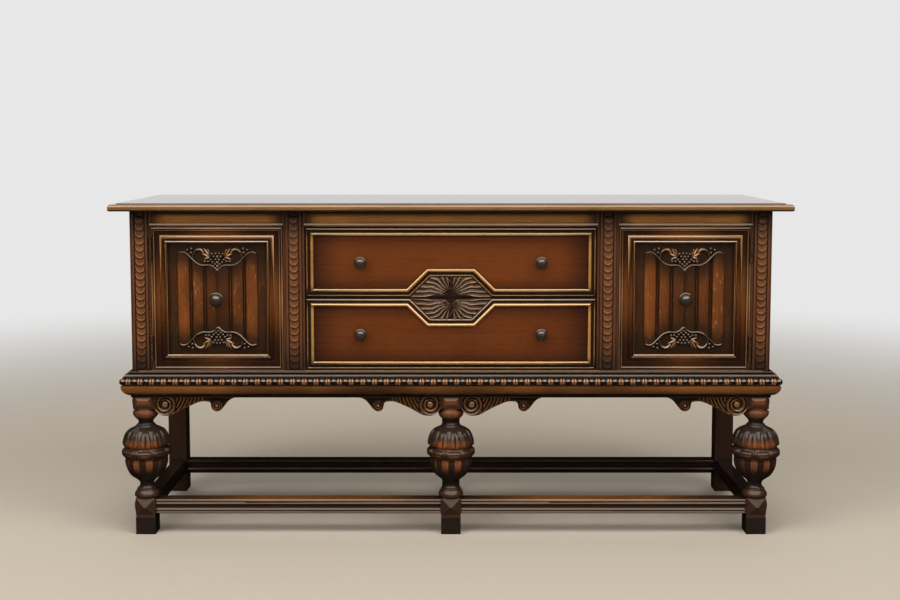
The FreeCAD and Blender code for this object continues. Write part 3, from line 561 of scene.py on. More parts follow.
def caseBays():
    # left and right end of each bay between two pilasters
    posts = sorted((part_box(name) for name in pilasters), key=lambda post: post[0].x)
    return [(left[1].x, right[0].x) for left, right in zip(posts, posts[1:])]


def friezeMask(finish):
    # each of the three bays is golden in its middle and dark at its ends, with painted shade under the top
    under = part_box("frieze_rails")[1].z
    total = 0.0
    for low, high in caseBays():
        total = finish.x.between(low, low + 0.05) * finish.x.between(high, high - 0.05) + total
    return total * finish.z.between(under - 0.005, under - 0.020)


def topNoseShade(finish):
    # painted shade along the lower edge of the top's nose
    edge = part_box("top_board")[0].z
    return finish.z.between(edge + 0.0025, edge + 0.0060)


def pilasterMask(finish):
    # dark at the foot and the head
    return finish.z.between(*pilasterGlow["foot"]) * finish.z.between(*pilasterGlow["head"])


def baseMask(finish):
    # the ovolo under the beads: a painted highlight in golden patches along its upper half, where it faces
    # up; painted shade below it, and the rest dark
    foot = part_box("base_moulding_front")[0].z
    ovolo = finish.z.between(foot + 0.008, foot + 0.020) * finish.z.between(foot + 0.042, foot + 0.034)
    patches = finish.noise((2.6, 2.6, 2.6), 2.0, 0.55).between(0.32, 0.62) * 0.8 + 0.2
    return ovolo * patches


# The string of beads: half its length, its beads, how deep its corners are and where its ends start
beadString = {"half": 0.8893, "count": 56, "corner": -0.2350, "end": -0.2398}
beadLook = dict(
    body=(0.012, 0.008, 0.006), glow=(0.280, 0.110, 0.036), amount=1.0, edge=(0.42, 0.26, 0.15), rough=0.14,
    coat=1.0, coatRough=0.08, coatIor=2.0, reach=0.006, streak=0.3)


def beadMask(finish):
    # long beads nearly black, the thin discs between them rubbed to a warm brown
    half, corner = beadString["half"], beadString["corner"]
    onFront = finish.y.between(corner, corner - 0.0002)
    place = onFront * (finish.x + half) + (1 - onFront) * (finish.y - beadString["end"])
    beat = ((place / (2 * half / beadString["count"]) + 8.0).share() - 0.5).size()
    return beat.between(0.235, 0.205)


def dressNodes(material, *names):
    for name in names:
        dress(nodes[name], material)


def dressConstruction():
    for kind, look, axis, names in plainPieces:
        dressNodes(woodFinish(kind + "_" + axis, dict(look, grain=axis)), *names)
    dressNodes(woodFinish("polishedTop", topLook, topNoseShade), "top_board")
    dressNodes(woodFinish("friezeWood", friezeLook, friezeMask), "frieze_rails")
    dressNodes(woodFinish("pilasterWood", pilasterLook, pilasterMask), *pilasters)
    baseWood = woodFinish("baseMouldingWood", baseLook, baseMask)
    dressNodes(baseWood, "base_moulding_front", "base_moulding_ends")
    dressNodes(woodFinish("beadWood", beadLook, beadMask), "bead_and_reel")
    dressNodes(woodFinish("rearLegWood", rearLegLook), "legs_rear")


def metalFinish(name, tone, rough):
    finish = Finish(name)
    wear = finish.noise((160.0, 160.0, 160.0), 4.0, 0.6)
    finish.set(Base_Color=finish.mixed(wear.between(0.35, 0.65), tone, (0.05, 0.03, 0.018)), Metallic=0.7,
               Roughness=(wear - 0.5) * 0.2 + rough)
    finish.bumped(wear, 0.1, 0.0002)
    return finish.material


def dressHardware():
    brass = metalFinish("agedBrass", (0.160, 0.095, 0.045), 0.4)
    steel = metalFinish("plainSteel", (0.42, 0.41, 0.39), 0.3)
    dressNodes(brass, "hinge_leaves_case", "hinge_pins", "door_left_hinge_leaves", "door_right_hinge_leaves")
    dressNodes(steel, "top_screws", "shelf_pins", "door_catches")


dressConstruction()
dressHardware()
print("construction dressed")


# Doors: linenfold panels, carvings, mouldings and knobs

doorPanel = {
    "face": -202.0,
    "foldEdge": 108.5,
    "foldRise": 6.0,
    "ridgeRise": 3.2,
    "grooveRise": 1.7,
    "columns": 260,
}
# Height of the carved rail over the panel's middle, by distance from the door's centre line
railRise = (
    (0, 77.8), (5, 83.3), (12, 88.8), (19, 91.8), (25.8, 92.3), (38, 91.1), (46, 92.8), (55.3, 96.8),
    (64, 104.3), (72.7, 113.3), (81, 122.3), (89, 127.6), (98, 127.9), (104, 124.5))
# The folds: inner edge, outer edge and share of the full rise
foldBands = ((0.0, 29.5, 0.9), (39.5, 67.5, 1.0), (77.5, 108.5, 1.0))
# Rows of points on a fold, by distance back from its end
foldRows = (60, 35, 17, 0.6, -0.6)
# How far the stain is rubbed through across the panel: sides and folds, then painted shade in the grooves
# with a painted highlight on the bead inside each
foldStain = (
    (-200, 0.26), (-110, 0.26), (-107, 0.92), (-79, 0.80), (-77, 0), (-74.5, 0), (-72.5, 1), (-70.5, 0),
    (-68, 0), (-66, 0.56), (-41, 0.46), (-39, 0), (-36.5, 0), (-34.5, 1), (-32.5, 0), (-30, 0), (-28, 0.42),
    (-3, 0.36), (0, 0.1), (3, 0.24), (28, 0.16), (30, 0), (32.5, 0), (34.5, 1), (36.5, 0), (39, 0),
    (41, 0.50), (66, 0.42), (68, 0), (70.5, 0), (72.5, 1), (74.5, 0), (77, 0), (79, 0.70), (107, 0.56),
    (110, 0.26), (200, 0.26))


def foldHeight(distance):
    sizes = doorPanel
    for inner, outer, rise in foldBands:
        if inner <= distance <= outer:
            middle = 0 if inner == 0 else (inner + outer) / 2
            share = (distance - middle) / (outer - middle)
            ridgeLine = max(0.0, 1 - distance / 5.0) * sizes["ridgeRise"]
            return sizes["foldRise"] * rise * (0.45 + 0.55 * (1 - share ** 2) ** 0.7) + ridgeLine
    for (_, left, _), (right, _, _) in zip(foldBands, foldBands[1:]):
        if left < distance < right:
            return sizes["grooveRise"] * (1 + math.cos((distance - left) / (right - left) * 4 * math.pi))
    return 0.0


def foldedPanel(side):
    low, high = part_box("door_%s_panel" % side)
    middle = (low + high) / 2
    half = (high.x - low.x) / 2
    tall = (high.z - low.z) / 2 / mm

    def shape(across, along):
        x = (across * 2 - 1) * half
        distance = abs(x) / mm
        end = alongTable(railRise, min(distance, 104))
        upper = [end - back for back in foldRows] + [tall]
        steps = [-height for height in reversed(upper)] + upper
        step = round(along * (len(steps) - 1))
        carved = 1 < step < len(steps) - 2 and distance <= doorPanel["foldEdge"]
        rise = foldHeight(distance) if carved else 0.0
        return Vector((middle.x + x, (doorPanel["face"] - rise) * mm, middle.z + steps[step] * mm))

    def stain(place):
        across, upwards = place.x - middle.x / mm, abs(place.z - middle.z / mm)
        end = alongTable(railRise, min(abs(across), 104))
        return blendBetween(end - upwards, 7, 60) * alongTable(foldStain, across)

    rows = 2 * len(foldRows) + 1
    piece = carvedGrid("door_%s_linenfold" % side, doorPanel["columns"], rows, shape)
    storeGlow(closeBack(piece, (0, 0.006, 0)), stain)
    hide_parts("door_%s_panel" % side)
    return piece


# The carving over the folds: right half, about the door's centre line and the panel's middle
carving = {
    "depth": -206.0,
    "raise": 4.3,
    "railRadii": (3.0, 2.6, 2.4, 2.4, 2.6, 2.8, 2.6, 2.5, 2.5, 2.4, 2.3, 2.3, 2.3, 1.6),
    "scroll": ((67.5, 104.0), (66.0, 117.0), (59.5, 127.8), (49.5, 131.5), (41.0, 128.5), (36.5, 121.0)),
    "scrollRadii": (1.4, 2.4, 3.2, 3.9, 3.6, 2.0),
    "leafTips": (((22, 107), (26, 121), (36, 133), 5.0), ((22, 107), (32, 116), (42, 119.5), 4.6),
                 ((22, 107), (30, 107), (37, 102), 4.0), ((20, 110), (20, 121), (26, 131), 4.0)),
    "berries": ((14.5, 117), (4.6, 118.5), (9.5, 110.5), (0, 110.5), (18, 101.5), (4.8, 102.5), (13, 95),
                (25, 97), (33.5, 97), (6.5, 89.5), (0, 95.5), (0, 84.5)),
    "trefoil": ((81.5, 128.5), (70.5, 132.0), (71.5, 120.8)),
    "berryRadius": 4.0,
    "scrollEye": (38, 124),
}


def doorCarving(side):
    low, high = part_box("door_%s_panel" % side)
    middle = (low + high) / 2
    depth = carving["depth"]
    pieces = [rod("scroll", [(across, depth, rise) for across, rise in carving["scroll"]],
                  carving["scrollRadii"], 1.15)]
    for root, waist, tip, thick in carving["leafTips"]:
        points = [(x, depth + sink, z) for (x, z), sink in ((root, 0.6), (waist, 0.2), (tip, 1.4))]
        pieces.append(rod("leaf", points, (1.2, thick, 0.5), 0.9, 6))
    for x, z in carving["berries"]:
        pieces.append(berry(x, depth - 0.3, z, carving["berryRadius"]))
    for x, z in carving["trefoil"]:
        pieces.append(berry(x, depth + 1.0, z, carving["berryRadius"]))
    inner = moved(joinAll(pieces, "inner"), z=carving["raise"] * mm)
    rail = rod("rail", [(across, depth - 0.4, rise) for across, rise in railRise], carving["railRadii"], 1.3)
    half = joinAll([rail, inner], "door_%s_carving" % side)
    upper = joinAll([half, mirrored(half, 0)], half.name)
    whole = joinAll([upper, mirrored(upper, 2)], half.name)

    def gilt(place):
        # golden leaves and the scroll's inner end
        eyeX, eyeZ = carving["scrollEye"]
        away = math.hypot(abs(place.x) - eyeX, abs(place.z) - eyeZ)
        return 0.10 + 0.60 * blendBetween(away, 22, 9)

    storeGlow(whole, gilt)
    moved(whole, middle.x, 0, middle.z)
    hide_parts("door_%s_tracery" % side)
    return whole


# Sections, as (across, forward) steps from the outer edge inwards
doorSection = (
    (0.1, 0.3), (0.5, 0.9), (0.9, 1.0), (2.0, 1.3), (2.2, 0.8), (3.0, 0.6), (3.0, 0.5), (2.5, 0.2),
    (0.8, -2.2), (0.5, -0.2), (0.5, 0.2), (0.5, 1.5), (1.6, 1.0), (0.8, 0.2), (0.4, -0.3), (0.9, -2.2),
    (1.5, -1.2))
edgeBeadSection = ((0.1, 0.3), (3.6, 1.9), (0.7, 0.15), (0.7, -0.15), (3.6, -1.9))
cockBeadSection = ((0.1, 1.6), (2.1, 1.2), (0.4, 0.1), (0.4, -0.1), (1.2, -1.2), (0.1, -1.5))
fieldSection = (
    (0.1, 0.5), (3.6, 0.2), (0.3, 0.6), (3.5, 0.2), (0.3, 1.9), (0.5, 0.6), (2.7, 1.4), (0.8, 0.2),
    (0.9, -0.1), (1.4, -0.8), (0.9, -1.3), (0.5, -1.6), (0.2, -1.5))
bolectionBack = -0.2098


def doorMouldings(side):
    low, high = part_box("door_%s_moulding" % side)
    ring = mitredMoulding("door_%s_bolection" % side, rectangle(low, high, 0), bolectionBack, doorSection)
    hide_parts("door_%s_moulding" % side)
    low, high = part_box("door_%s_frame" % side)
    outline = rectangle(low, high, 0.0004)
    bead = mitredMoulding("door_%s_edge_bead" % side, outline, stileFace + 0.0002, edgeBeadSection)
    return ring, bead


# Shares of a knob's radius and of its length, foot to crown
knobProfile = (
    (0, 0), (0.62, 0), (0.62, 0.10), (0.45, 0.16), (0.37, 0.24), (0.38, 0.34), (0.50, 0.44), (0.80, 0.49),
    (0.94, 0.52), (1, 0.58), (0.99, 0.64), (0.95, 0.68), (0.87, 0.70), (0.82, 0.685), (0.79, 0.70),
    (0.76, 0.76), (0.68, 0.86), (0.54, 0.93), (0.36, 0.975), (0.16, 0.995), (0, 1))
knobRadius = {"door": 20.0, "drawer": 17.0}


def turnedKnobs(name, node, radius, ends):
    # a knob in the middle of the node's box, or one at each end, where ends are -1 and 1
    low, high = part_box(node)
    middle = (low + high) / 2
    length = (high.y - low.y) / mm
    last = len(knobProfile) - 1
    knobs = []
    for end in ends:
        centre = Vector((middle.x + end * ((high.x - low.x) / 2 - radius * mm), high.y, middle.z))

        def shape(across, along):
            share, rise = knobProfile[round(along * last)]
            turn = across * 2 * math.pi
            return centre + Vector((radius * share * math.cos(turn), -rise * length,
                                    radius * share * math.sin(turn))) * mm

        knobs.append(tidyMesh(carvedGrid(name, 40, last, shape)))
    return joinAll(knobs, name)


# Drawers: mouldings round the half hexagon, and medallion halves

hexagon = {"tip": 110.5, "flat": 55.0, "high": 55.5}


def drawerOutline(level, inset):
    # round the drawer's front and its half of the hexagon, anticlockwise as the front is seen
    low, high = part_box("drawer_%s_front" % level)
    seam = (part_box("drawer_upper_front")[0].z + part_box("drawer_lower_front")[1].z) / 2
    spread = inset * (math.sqrt(2) - 1)
    tip, flat = (hexagon["tip"] + spread) * mm, (hexagon["flat"] + spread) * mm
    step = inset * mm
    left, right, edge, far = low.x + step, high.x - step, low.z + step, high.z - step
    way = 1
    if level == "lower":
        edge, far, way = far, edge, -1
    peak = seam + way * (hexagon["high"] + inset) * mm
    outline = [(left, edge), (-tip, edge), (-flat, peak), (flat, peak), (tip, edge), (right, edge),
               (right, far), (left, far)]
    return outline[::way]


def drawerMoulding(level):
    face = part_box("drawer_%s_front" % level)[0].y
    rings = [mitredMoulding("bead", drawerOutline(level, 3), face, cockBeadSection),
             mitredMoulding("field", drawerOutline(level, 7.6), face, fieldSection)]
    piece = joinAll(rings, "drawer_%s_ogee" % level)
    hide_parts("drawer_%s_moulding" % level)
    return piece


medallion = {
    "columns": 280,
    "rows": 110,
    "ridges": 7.5,
    "curl": 0.55,
    "lean": 0.0050,
    "swing": 0.07,
    "base": 1.0,
    "leaf": 2.8,
    "ridge": 3.6,
    "vein": 1.2,
    "most": 8.8,
    "crest": (-0.2152, -0.2182),
}


def medallionHeight(across, upwards):
    # leaves curl out of the middle in an S, with a cross of smooth valleys between them
    sizes = medallion
    reach = math.hypot(across, upwards)
    turn = math.atan2(upwards, across)
    between = math.sin(2 * turn) ** 0.5
    curl = sizes["lean"] * (reach - 45) - sizes["curl"] * math.exp(-(reach - 16) / 8)
    curl -= sizes["swing"] * math.exp(-((reach - 58) / 13) ** 2)
    beat = sizes["ridges"] * (turn + curl * between) / (math.pi / 2)
    crest = 1 - abs(2 * (beat % 1.0) - 1)
    vein = 1 - abs(2 * ((2 * beat + 0.5) % 1.0) - 1)
    lens = 6.5 * max(0.0, 1 - (across / 64) ** 6) ** 0.6
    valley = blendBetween(upwards, lens * 0.8, lens + 3.0) * blendBetween(across, 3.4, 7.4)
    valley *= blendBetween(reach, 13, 22)
    rim = 1 - 0.30 * blendBetween(reach, 48, 104)
    rise = sizes["leaf"] * crest ** 0.5 + sizes["ridge"] * crest ** 3 + sizes["vein"] * vein
    return sizes["base"] + valley * rim * rise


def medallionHalf(level):
    low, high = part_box("drawer_%s_medallion" % level)
    way = 1 if level == "upper" else -1
    start = low.z if level == "upper" else high.z
    tall = (high.z - low.z) / mm

    def shape(across, along):
        upwards = along * tall
        wide = (high.x - low.x) / 2 / mm - upwards * (hexagon["tip"] - hexagon["flat"]) / tall
        sideways = (across * 2 - 1) * wide
        rise = medallionHeight(abs(sideways) + 0.01, upwards + 0.7)
        rise = min(rise, medallion["most"])
        return Vector((sideways * mm, high.y - rise * mm, start + way * upwards * mm))

    piece = carvedGrid("drawer_%s_acanthus" % level, medallion["columns"], medallion["rows"], shape)
    closeBack(piece, (0, 0.001, 0))
    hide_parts("drawer_%s_medallion" % level)
    return piece


# Stand: carved legs and brackets

# The turned part of a leg, (height, radius) from the block's top to the rail block
legPoints = (
    (100.5, 29), (102.5, 32.2), (105, 33.8), (108.5, 34), (113, 32.8), (117, 30.4), (120.5, 27.6),
    (122, 26.6), (123, 27.2), (125, 26.6), (126.5, 24.4), (129, 22), (133, 19.9), (138, 19.1), (143, 20.2),
    (147, 23), (152, 28.4), (157, 35.2), (162, 41.4), (168, 46.5), (174, 50.2), (181, 53.2), (188, 55.7),
    (196, 57.4), (203, 58.3), (206, 57.6), (211, 57.2), (214, 58.2), (216.5, 61), (219.5, 64.2),
    (223, 66.1), (227.5, 66.9), (232, 66), (236, 63.6), (239, 60.4), (241, 57.4), (244, 56.4), (246, 58.4),
    (247.5, 60.8), (251, 62), (255, 62.3), (261, 61.5), (268, 60), (275, 57.6), (281, 54.6), (286, 50.6),
    (290, 45), (294, 37), (297, 31), (299.5, 27.2), (301.5, 26.2), (303, 25.6), (304.5, 22.8), (307, 20.6),
    (311, 20), (314, 20.8), (317, 22.8), (320, 25.6), (324, 29.6), (327.5, 32.4), (331, 34), (334.5, 34.8),
    (338, 34.8), (340.5, 34.2), (342, 31.5), (344.5, 30), (350.5, 29.6))
leg = {
    "around": 320,
    "steps": 2,
    "mostRadius": 66.4,
    "cupFoot": 150.0,
    "cupTop": 213.5,
    "cupLobes": 10,
    "cupTurn": 20.0,
    "ringFoot": 215.0,
    "ringTop": 240.0,
    "ringLozenges": 8,
    "ringTurn": 7.0,
    "coverFoot": 246.0,
    "coverTop": 292.0,
    "coverLeaves": 11,
    "coverTurn": 11.0,
}
# The square parts: half width, foot, top (none for the head) and the boss's border, depth and slope
legBlocks = (("foot", 27.0, 0.0, 49.0, None), ("waist", 25.5, 48.0, 54.0, None),
             ("lower", 26.6, 52.0, 101.0, (1.2, 9.0, 21.8)), ("upper", 28.5, 350.0, 388.0, (4.0, 5.0, 9.5)),
             ("head", 28.5, 387.0, None, None))


def fromMiddle(turn, count, shift):
    # distance from the middle of the nearest of count parts round the leg, 0 to 1
    beat = (turn - math.radians(shift)) * count / (2 * math.pi)
    return abs((beat + 0.5) % 1.0 - 0.5) * 2


def carvedRadius(height, radius, turn):
    # flutes between the cup's lobes, lozenges and beads round the ring, leaves down the cover
    sizes = leg
    cupFoot, cupTop, ringFoot, ringTop = (sizes[key] for key in ("cupFoot", "cupTop", "ringFoot", "ringTop"))
    if cupFoot < height < cupTop:
        share = fromMiddle(turn, sizes["cupLobes"], sizes["cupTurn"])
        fade = blendBetween(height, cupFoot, cupFoot + 16) * blendBetween(cupTop - height, 0, 1.5)
        return radius - fade * 3.0 * blendBetween(share, 0.52, 0.64)
    if ringFoot < height < ringTop:
        share = fromMiddle(turn, sizes["ringLozenges"], sizes["ringTurn"])
        fade = blendBetween(height, ringFoot, ringFoot + 3) * blendBetween(ringTop - height, 0, 3)
        middle = 1 - abs(height - 228) / 12
        if share < 0.74:
            lozenge = blendBetween(0.74 - share, 0.0, 0.08) * blendBetween(middle, 0.20, 0.40)
            slot = blendBetween(0.50 - share, 0.0, 0.10) * blendBetween(middle, 0.72, 0.84)
            return radius + fade * (3.4 * lozenge - 3.4 - 2.2 * slot)
        return radius + fade * (3.0 * abs(math.sin((share - 0.74) / 0.26 * math.pi)) - 3.4)
    if sizes["coverFoot"] < height < sizes["coverTop"]:
        share = fromMiddle(turn, sizes["coverLeaves"], sizes["coverTurn"])
        down = (sizes["coverTop"] - height) / (sizes["coverTop"] - sizes["coverFoot"])
        fade = blendBetween(down, 0.02, 0.14)
        leafEdge = (0.60 + 0.32 * down) * (1.0 if down < 0.62 else (1 - ((down - 0.62) / 0.38) ** 2.4) ** 0.5)
        gap = blendBetween(share, leafEdge - 0.12, leafEdge + 0.02)
        vein = max(0.0, 1 - share / (0.08 + 0.14 * down)) * blendBetween(down, 0.10, 0.35)
        swell = 2.4 * (1 - ((share - 0.4) / 0.5) ** 2) * down
        return radius + fade * (max(swell, 0.0) - 3.0 * vein - 4.0 * gap)
    return radius


def legStainAndFrontLight(place):
    # where the stain is rubbed through to orange, most on the cup and the cover's leaves, with painted light
    # keeping it to a leg's front
    height = place.z
    turn = math.atan2(place.x, -place.y)
    # painted light: the side facing the front is lit, the sides fall into shade
    front = blendBetween(abs(math.degrees(turn)), 56, 28)
    if 160 < height < leg["cupTop"]:
        lobe = blendBetween(0.58 - fromMiddle(turn, leg["cupLobes"], leg["cupTurn"]), 0.0, 0.12)
        return (0.08 + 0.92 * lobe * front) * blendBetween(height, 174, 202)
    if leg["cupTop"] <= height < 243:
        return 0.06 + 0.14 * front
    if 243 <= height < 280:
        return (0.12 + 0.88 * front) * blendBetween(274 - height, 0, 16)
    if 322 < height < 348:
        return (0.22 + 0.48 * front) * blendBetween(height, 322, 330)
    if 348 <= height < 387:
        aside = min(abs(place.x), abs(place.y)) / 28.5
        return 0.12 + 0.60 * blendBetween(1 - max(aside, abs(height - 371) / 19), 0.08, 0.5)
    return 0.12 if 50 < height < 122 else 0.0


def carvedBlock(name, half, bottom, top, boss):
    # a block about x = 0, y = 0, whose upright faces may carry a faceted boss
    selectOnly(None)
    bpy.ops.mesh.primitive_cube_add(size=2)
    piece = bpy.context.object
    piece.name = name
    middle = (bottom + top) / 2
    for vertex in piece.data.vertices:
        x, y, z = vertex.co
        vertex.co = Vector((x * half, y * half, middle + z * (top - bottom) / 2)) * mm
    startEdit(piece, "FACE")
    bpy.ops.mesh.bevel(offset=1.0 * mm, segments=2)
    bpy.ops.object.mode_set(mode="OBJECT")
    if boss:
        border, depth, slope = (size * mm for size in boss)
        for face in piece.data.polygons:
            face.select = abs(face.normal.z) < 0.1 and face.area > (half * mm) ** 2
        bpy.ops.object.mode_set(mode="EDIT")
        bpy.ops.mesh.inset(thickness=border, depth=0, use_individual=True)
        bpy.ops.mesh.inset(thickness=slope, depth=depth, use_individual=True)
        bpy.ops.object.mode_set(mode="OBJECT")
    return smoothShade(piece, 15)


def carvedLeg(head):
    # one leg about x = 0, y = 0, up to the head's height
    rows = throughPoints(legPoints, leg["steps"])
    rows = [(rows[0][0], 0.0)] + rows + [(rows[-1][0], 0.0)]
    last = len(rows) - 1

    def shape(across, along):
        height, radius = rows[round(along * last)]
        turn = across * 2 * math.pi
        if radius:
            radius = min(carvedRadius(height, radius, turn + math.pi / 2), leg["mostRadius"])
        return Vector((radius * math.cos(turn), radius * math.sin(turn), height)) * mm

    turned = smoothShade(tidyMesh(carvedGrid("turned", leg["around"], last, shape), 0.000002), 40)
    blocks = [carvedBlock(name, half, foot, top or head, boss) for name, half, foot, top, boss in legBlocks]
    return storeGlow(joinAll([turned] + blocks, "carved_leg"), legStainAndFrontLight)


# A bracket's lower edge: distance along from the leg and drop below the moulding
bracketDrop = (
    (0, 34), (3.5, 38), (8, 42), (15, 47.4), (24, 51), (33, 52), (41, 51.5), (48.8, 49.5), (57, 45.5),
    (66.6, 40.2), (79.7, 32.6), (91, 27), (102.9, 21.8), (112, 17.5), (121, 14), (130.7, 11.8), (140, 11.9),
    (147.6, 12.9), (153.5, 15.5), (155.2, 22), (157, 31), (161, 36.5), (166, 39.4), (171, 40), (176, 39.2),
    (181, 36.6), (185, 32.5), (190.7, 25.5), (200.5, 12.6), (210, 5), (222, 0.6))
bracket = {
    "length": 222.0,
    "top": 386.0,
    "level": 381.4,
    "columns": 222,
    "rows": 34,
    "front": -213.0,
    "ground": 8.0,
    "ribPitch": 9.8,
    "eyes": ((28.5, 20.5, 32.0), (170.8, 24.0, 16.0)),
    "starts": ((-0.8115, 1), (-0.0285, -1), (0.0285, 1), (0.8115, -1)),
}


def voluteRise(across, drop, centreX, centreDrop, outer):
    # rise of a scroll's rolled bands, or None outside it
    sideways, down = across - centreX, drop - centreDrop
    reach = math.hypot(sideways, down) / outer
    if reach > 1.02:
        return None
    turn = math.atan2(down, sideways) / (2 * math.pi)
    if reach < 0.28:
        return 0.45 + 0.50 * math.sqrt(max(0.0, 1 - (reach / 0.28) ** 2))
    roll = (reach - 0.30) / 0.33 - turn
    return 0.03 + 0.90 * blendBetween(reach, 0.30, 0.42) * abs(math.sin(math.pi * roll)) ** 0.8


def bracketRise(across, drop):
    big, small = (voluteRise(across, drop, *eye) for eye in bracket["eyes"])
    if big is not None:
        return big
    if small is not None:
        return small * 0.95
    edge = blendBetween(alongTable(bracketDrop, across) - drop, 1.0, 3.5)
    if across < 140:
        ribs = abs(math.sin(math.pi * (across + 0.0085 * drop * drop + 0.22 * drop) / bracket["ribPitch"]))
        return (0.05 + 0.85 * ribs ** 0.9) * edge + 0.5 * (1 - edge)
    return 0.25 + 0.30 * (1 - edge)


def carvedBracket(name, start, way):
    level = bracket["level"]
    above = bracket["top"] - level

    def shape(across, along):
        distance = across * bracket["length"]
        drop = along * (alongTable(bracketDrop, distance) + above) - above
        sunk = bracket["ground"] * (1 - bracketRise(distance, max(drop, 0.0)))
        return Vector((start + way * distance * mm, (bracket["front"] + sunk) * mm, (level - drop) * mm))

    def eyeGlow(place):
        across, drop = (place.x - start / mm) * way, level - place.z
        near = min(math.hypot(across - x, drop - z) for x, z, _ in bracket["eyes"])
        return 0.45 + 0.55 * blendBetween(near, 10, 6)

    piece = carvedGrid(name, bracket["columns"], bracket["rows"], shape)
    return storeGlow(closeBack(piece, (0, 0.016, 0)), eyeGlow)


# Pilasters: overlapping scales down each channel, tips down

scale = {"half": 12.2, "pitch": 18.97, "long": 12.5, "columns": 14, "rows": 12, "floor": -215.0}
# (share down from the root to the tip, height over the channel's floor)
scaleLift = ((0.0, 0.1), (0.25, 0.7), (0.60, 1.8), (0.86, 3.0), (0.95, 3.1), (1.0, 2.2))


def pilasterScales(name):
    low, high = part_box(name)
    middle = (low.x + high.x) / 2
    sizes = scale

    def shape(across, along):
        sideways = across * 2 - 1
        arch = (1 - abs(sideways) ** 2.1) ** 0.5
        bottom = -sizes["long"] * arch
        top = sizes["pitch"] - sizes["long"] * arch * 0.9 + 1.0
        down = 1 - along
        lift = alongTable(scaleLift, down) * (0.80 + 0.20 * arch)
        return Vector((middle + sideways * sizes["half"] * mm, (sizes["floor"] - lift) * mm,
                       (bottom + (top - bottom) * along) * mm))

    def tipHighlightAndShadow(place):
        # a painted highlight at the tip, and painted shadow under the scale above
        sideways = min(1.0, abs(place.x - middle / mm) / sizes["half"])
        fromTip = place.z + sizes["long"] * (1 - sideways ** 2.1) ** 0.5
        paintedHighlight = 0.34 + 0.66 * blendBetween(fromTip, 6.0, 2.4)
        return paintedHighlight * blendBetween(sizes["pitch"] - fromTip, 2.2, 4.8)

    one = closeBack(carvedGrid("scale", sizes["columns"], sizes["rows"], shape), (0, 0.0025, 0))
    storeGlow(one, tipHighlightAndShadow)
    start = low.z / mm + sizes["long"] + 3.0
    count = int((high.z / mm - 6.0 - start) / sizes["pitch"]) + 1
    pieces = [moved(copyOf(one), z=(start + index * sizes["pitch"]) * mm) for index in range(count)]
    bpy.data.objects.remove(one)
    return joinAll(pieces, name + "_scales")


# All carved pieces, placed and finished

frameLook = dict(
    grain="z", body=(0.024, 0.0075, 0.003), glow=(0.145, 0.042, 0.0075), amount=0.9, edge=goldRubAndGlint,
    edgeFade=0.8, coat=0.1, specular=0.22)
# The moulding's up-turned faces carry a painted highlight
mouldingLook = dict(
    grain="z", body=(0.024, 0.0075, 0.003), glow=(0.150, 0.046, 0.009), amount=0.8, edge=goldRubAndGlint,
    edgeReach=0.0014, edgeFade=0.55, crown=(0.36, 0.170, 0.050), crownTilt=(0.06, 0.18), rough=0.14,
    coat=1.0, coatRough=0.1, coatIor=2.1, specular=0.7, reach=0.006)
edgeBeadLook = dict(mouldingLook, crown=None, coat=0.7, coatIor=1.6, specular=0.4)
friezeBeadLook = dict(mouldingLook, grain="x", crown=None, edge=ridge, coat=0.6, coatIor=1.5, specular=0.4)
foldLook = dict(
    grain="z", tonerAndShade=(0.017, 0.0088, 0.0040), body=(0.030, 0.0115, 0.0045), glow=(0.210, 0.057, 0.009),
    amount=0.9, cloud=(34.0, 34.0, 7.0), cloudy=1.6, flecks=1.6, relief=(-0.2020, -0.2062), ground=0.6,
    reach=0.010, deep=1.4, coat=0.2)
carvingLook = dict(
    body=(0.018, 0.011, 0.008), glow=(0.500, 0.230, 0.065), amount=0.85, edge=paleRubAndGlint, edgeReach=0.0011,
    rough=0.16, coat=1.0, coatIor=1.8, reach=0.005)
knobLook = dict(
    body=(0.028, 0.021, 0.016), glow=(0.060, 0.040, 0.028), coat=1.0, coatRough=0.11, coatIor=1.7,
    reach=0.006)
veneerLook = dict(
    body=(0.018, 0.0055, 0.003), glow=(0.140, 0.033, 0.0050), rough=0.28, reach=0.016, deep=1.0,
    streak=0.35)
veneerAmount = {"upper": 0.98, "lower": 0.84}
# The gilt moulding's up-turned faces carry a painted highlight
goldLook = dict(
    tonerAndShade=(0.020, 0.0085, 0.004), body=(0.045, 0.018, 0.005), glow=(0.440, 0.215, 0.062), amount=0.8,
    edge=goldRubAndGlint, edgeReach=0.0012, edgeFade=0.6, crown=(0.57, 0.32, 0.100), relief=(-0.2128, -0.2143),
    rough=0.18, coat=1.0, coatIor=1.8, reach=0.004, cloud=(9.0, 9.0, 9.0), cloudy=1.4)
medallionLook = dict(
    tonerAndShade=(0.020, 0.0095, 0.0060), body=(0.062, 0.029, 0.015), glow=(0.480, 0.290, 0.180), amount=0.9,
    relief=(-0.2122, -0.2152), rough=0.2, coat=0.8, reach=0.004, deep=1.5)
legLook = dict(
    grain="z", body=(0.019, 0.011, 0.0075), glow=(0.220, 0.066, 0.018), amount=0.9,
    cloud=(14.0, 14.0, 14.0), cloudy=1.2, edge=ridge, edgeReach=0.0015, rough=0.34, coat=0.4, coatRough=0.2,
    reach=0.006, deep=2.0)
bracketLook = dict(
    body=(0.034, 0.018, 0.009), glow=(0.290, 0.122, 0.038), amount=0.9, relief=(-0.2060, -0.2110),
    rough=0.18, coat=1.0, coatIor=1.7, reach=0.005)
scaleLook = dict(
    pilasterLook, body=(0.011, 0.0042, 0.0022), glow=(0.290, 0.098, 0.023), amount=0.98, reach=0.004,
    deep=1.9, rough=0.36, coat=0.15, edge=None, cloud=(25.0, 25.0, 25.0))


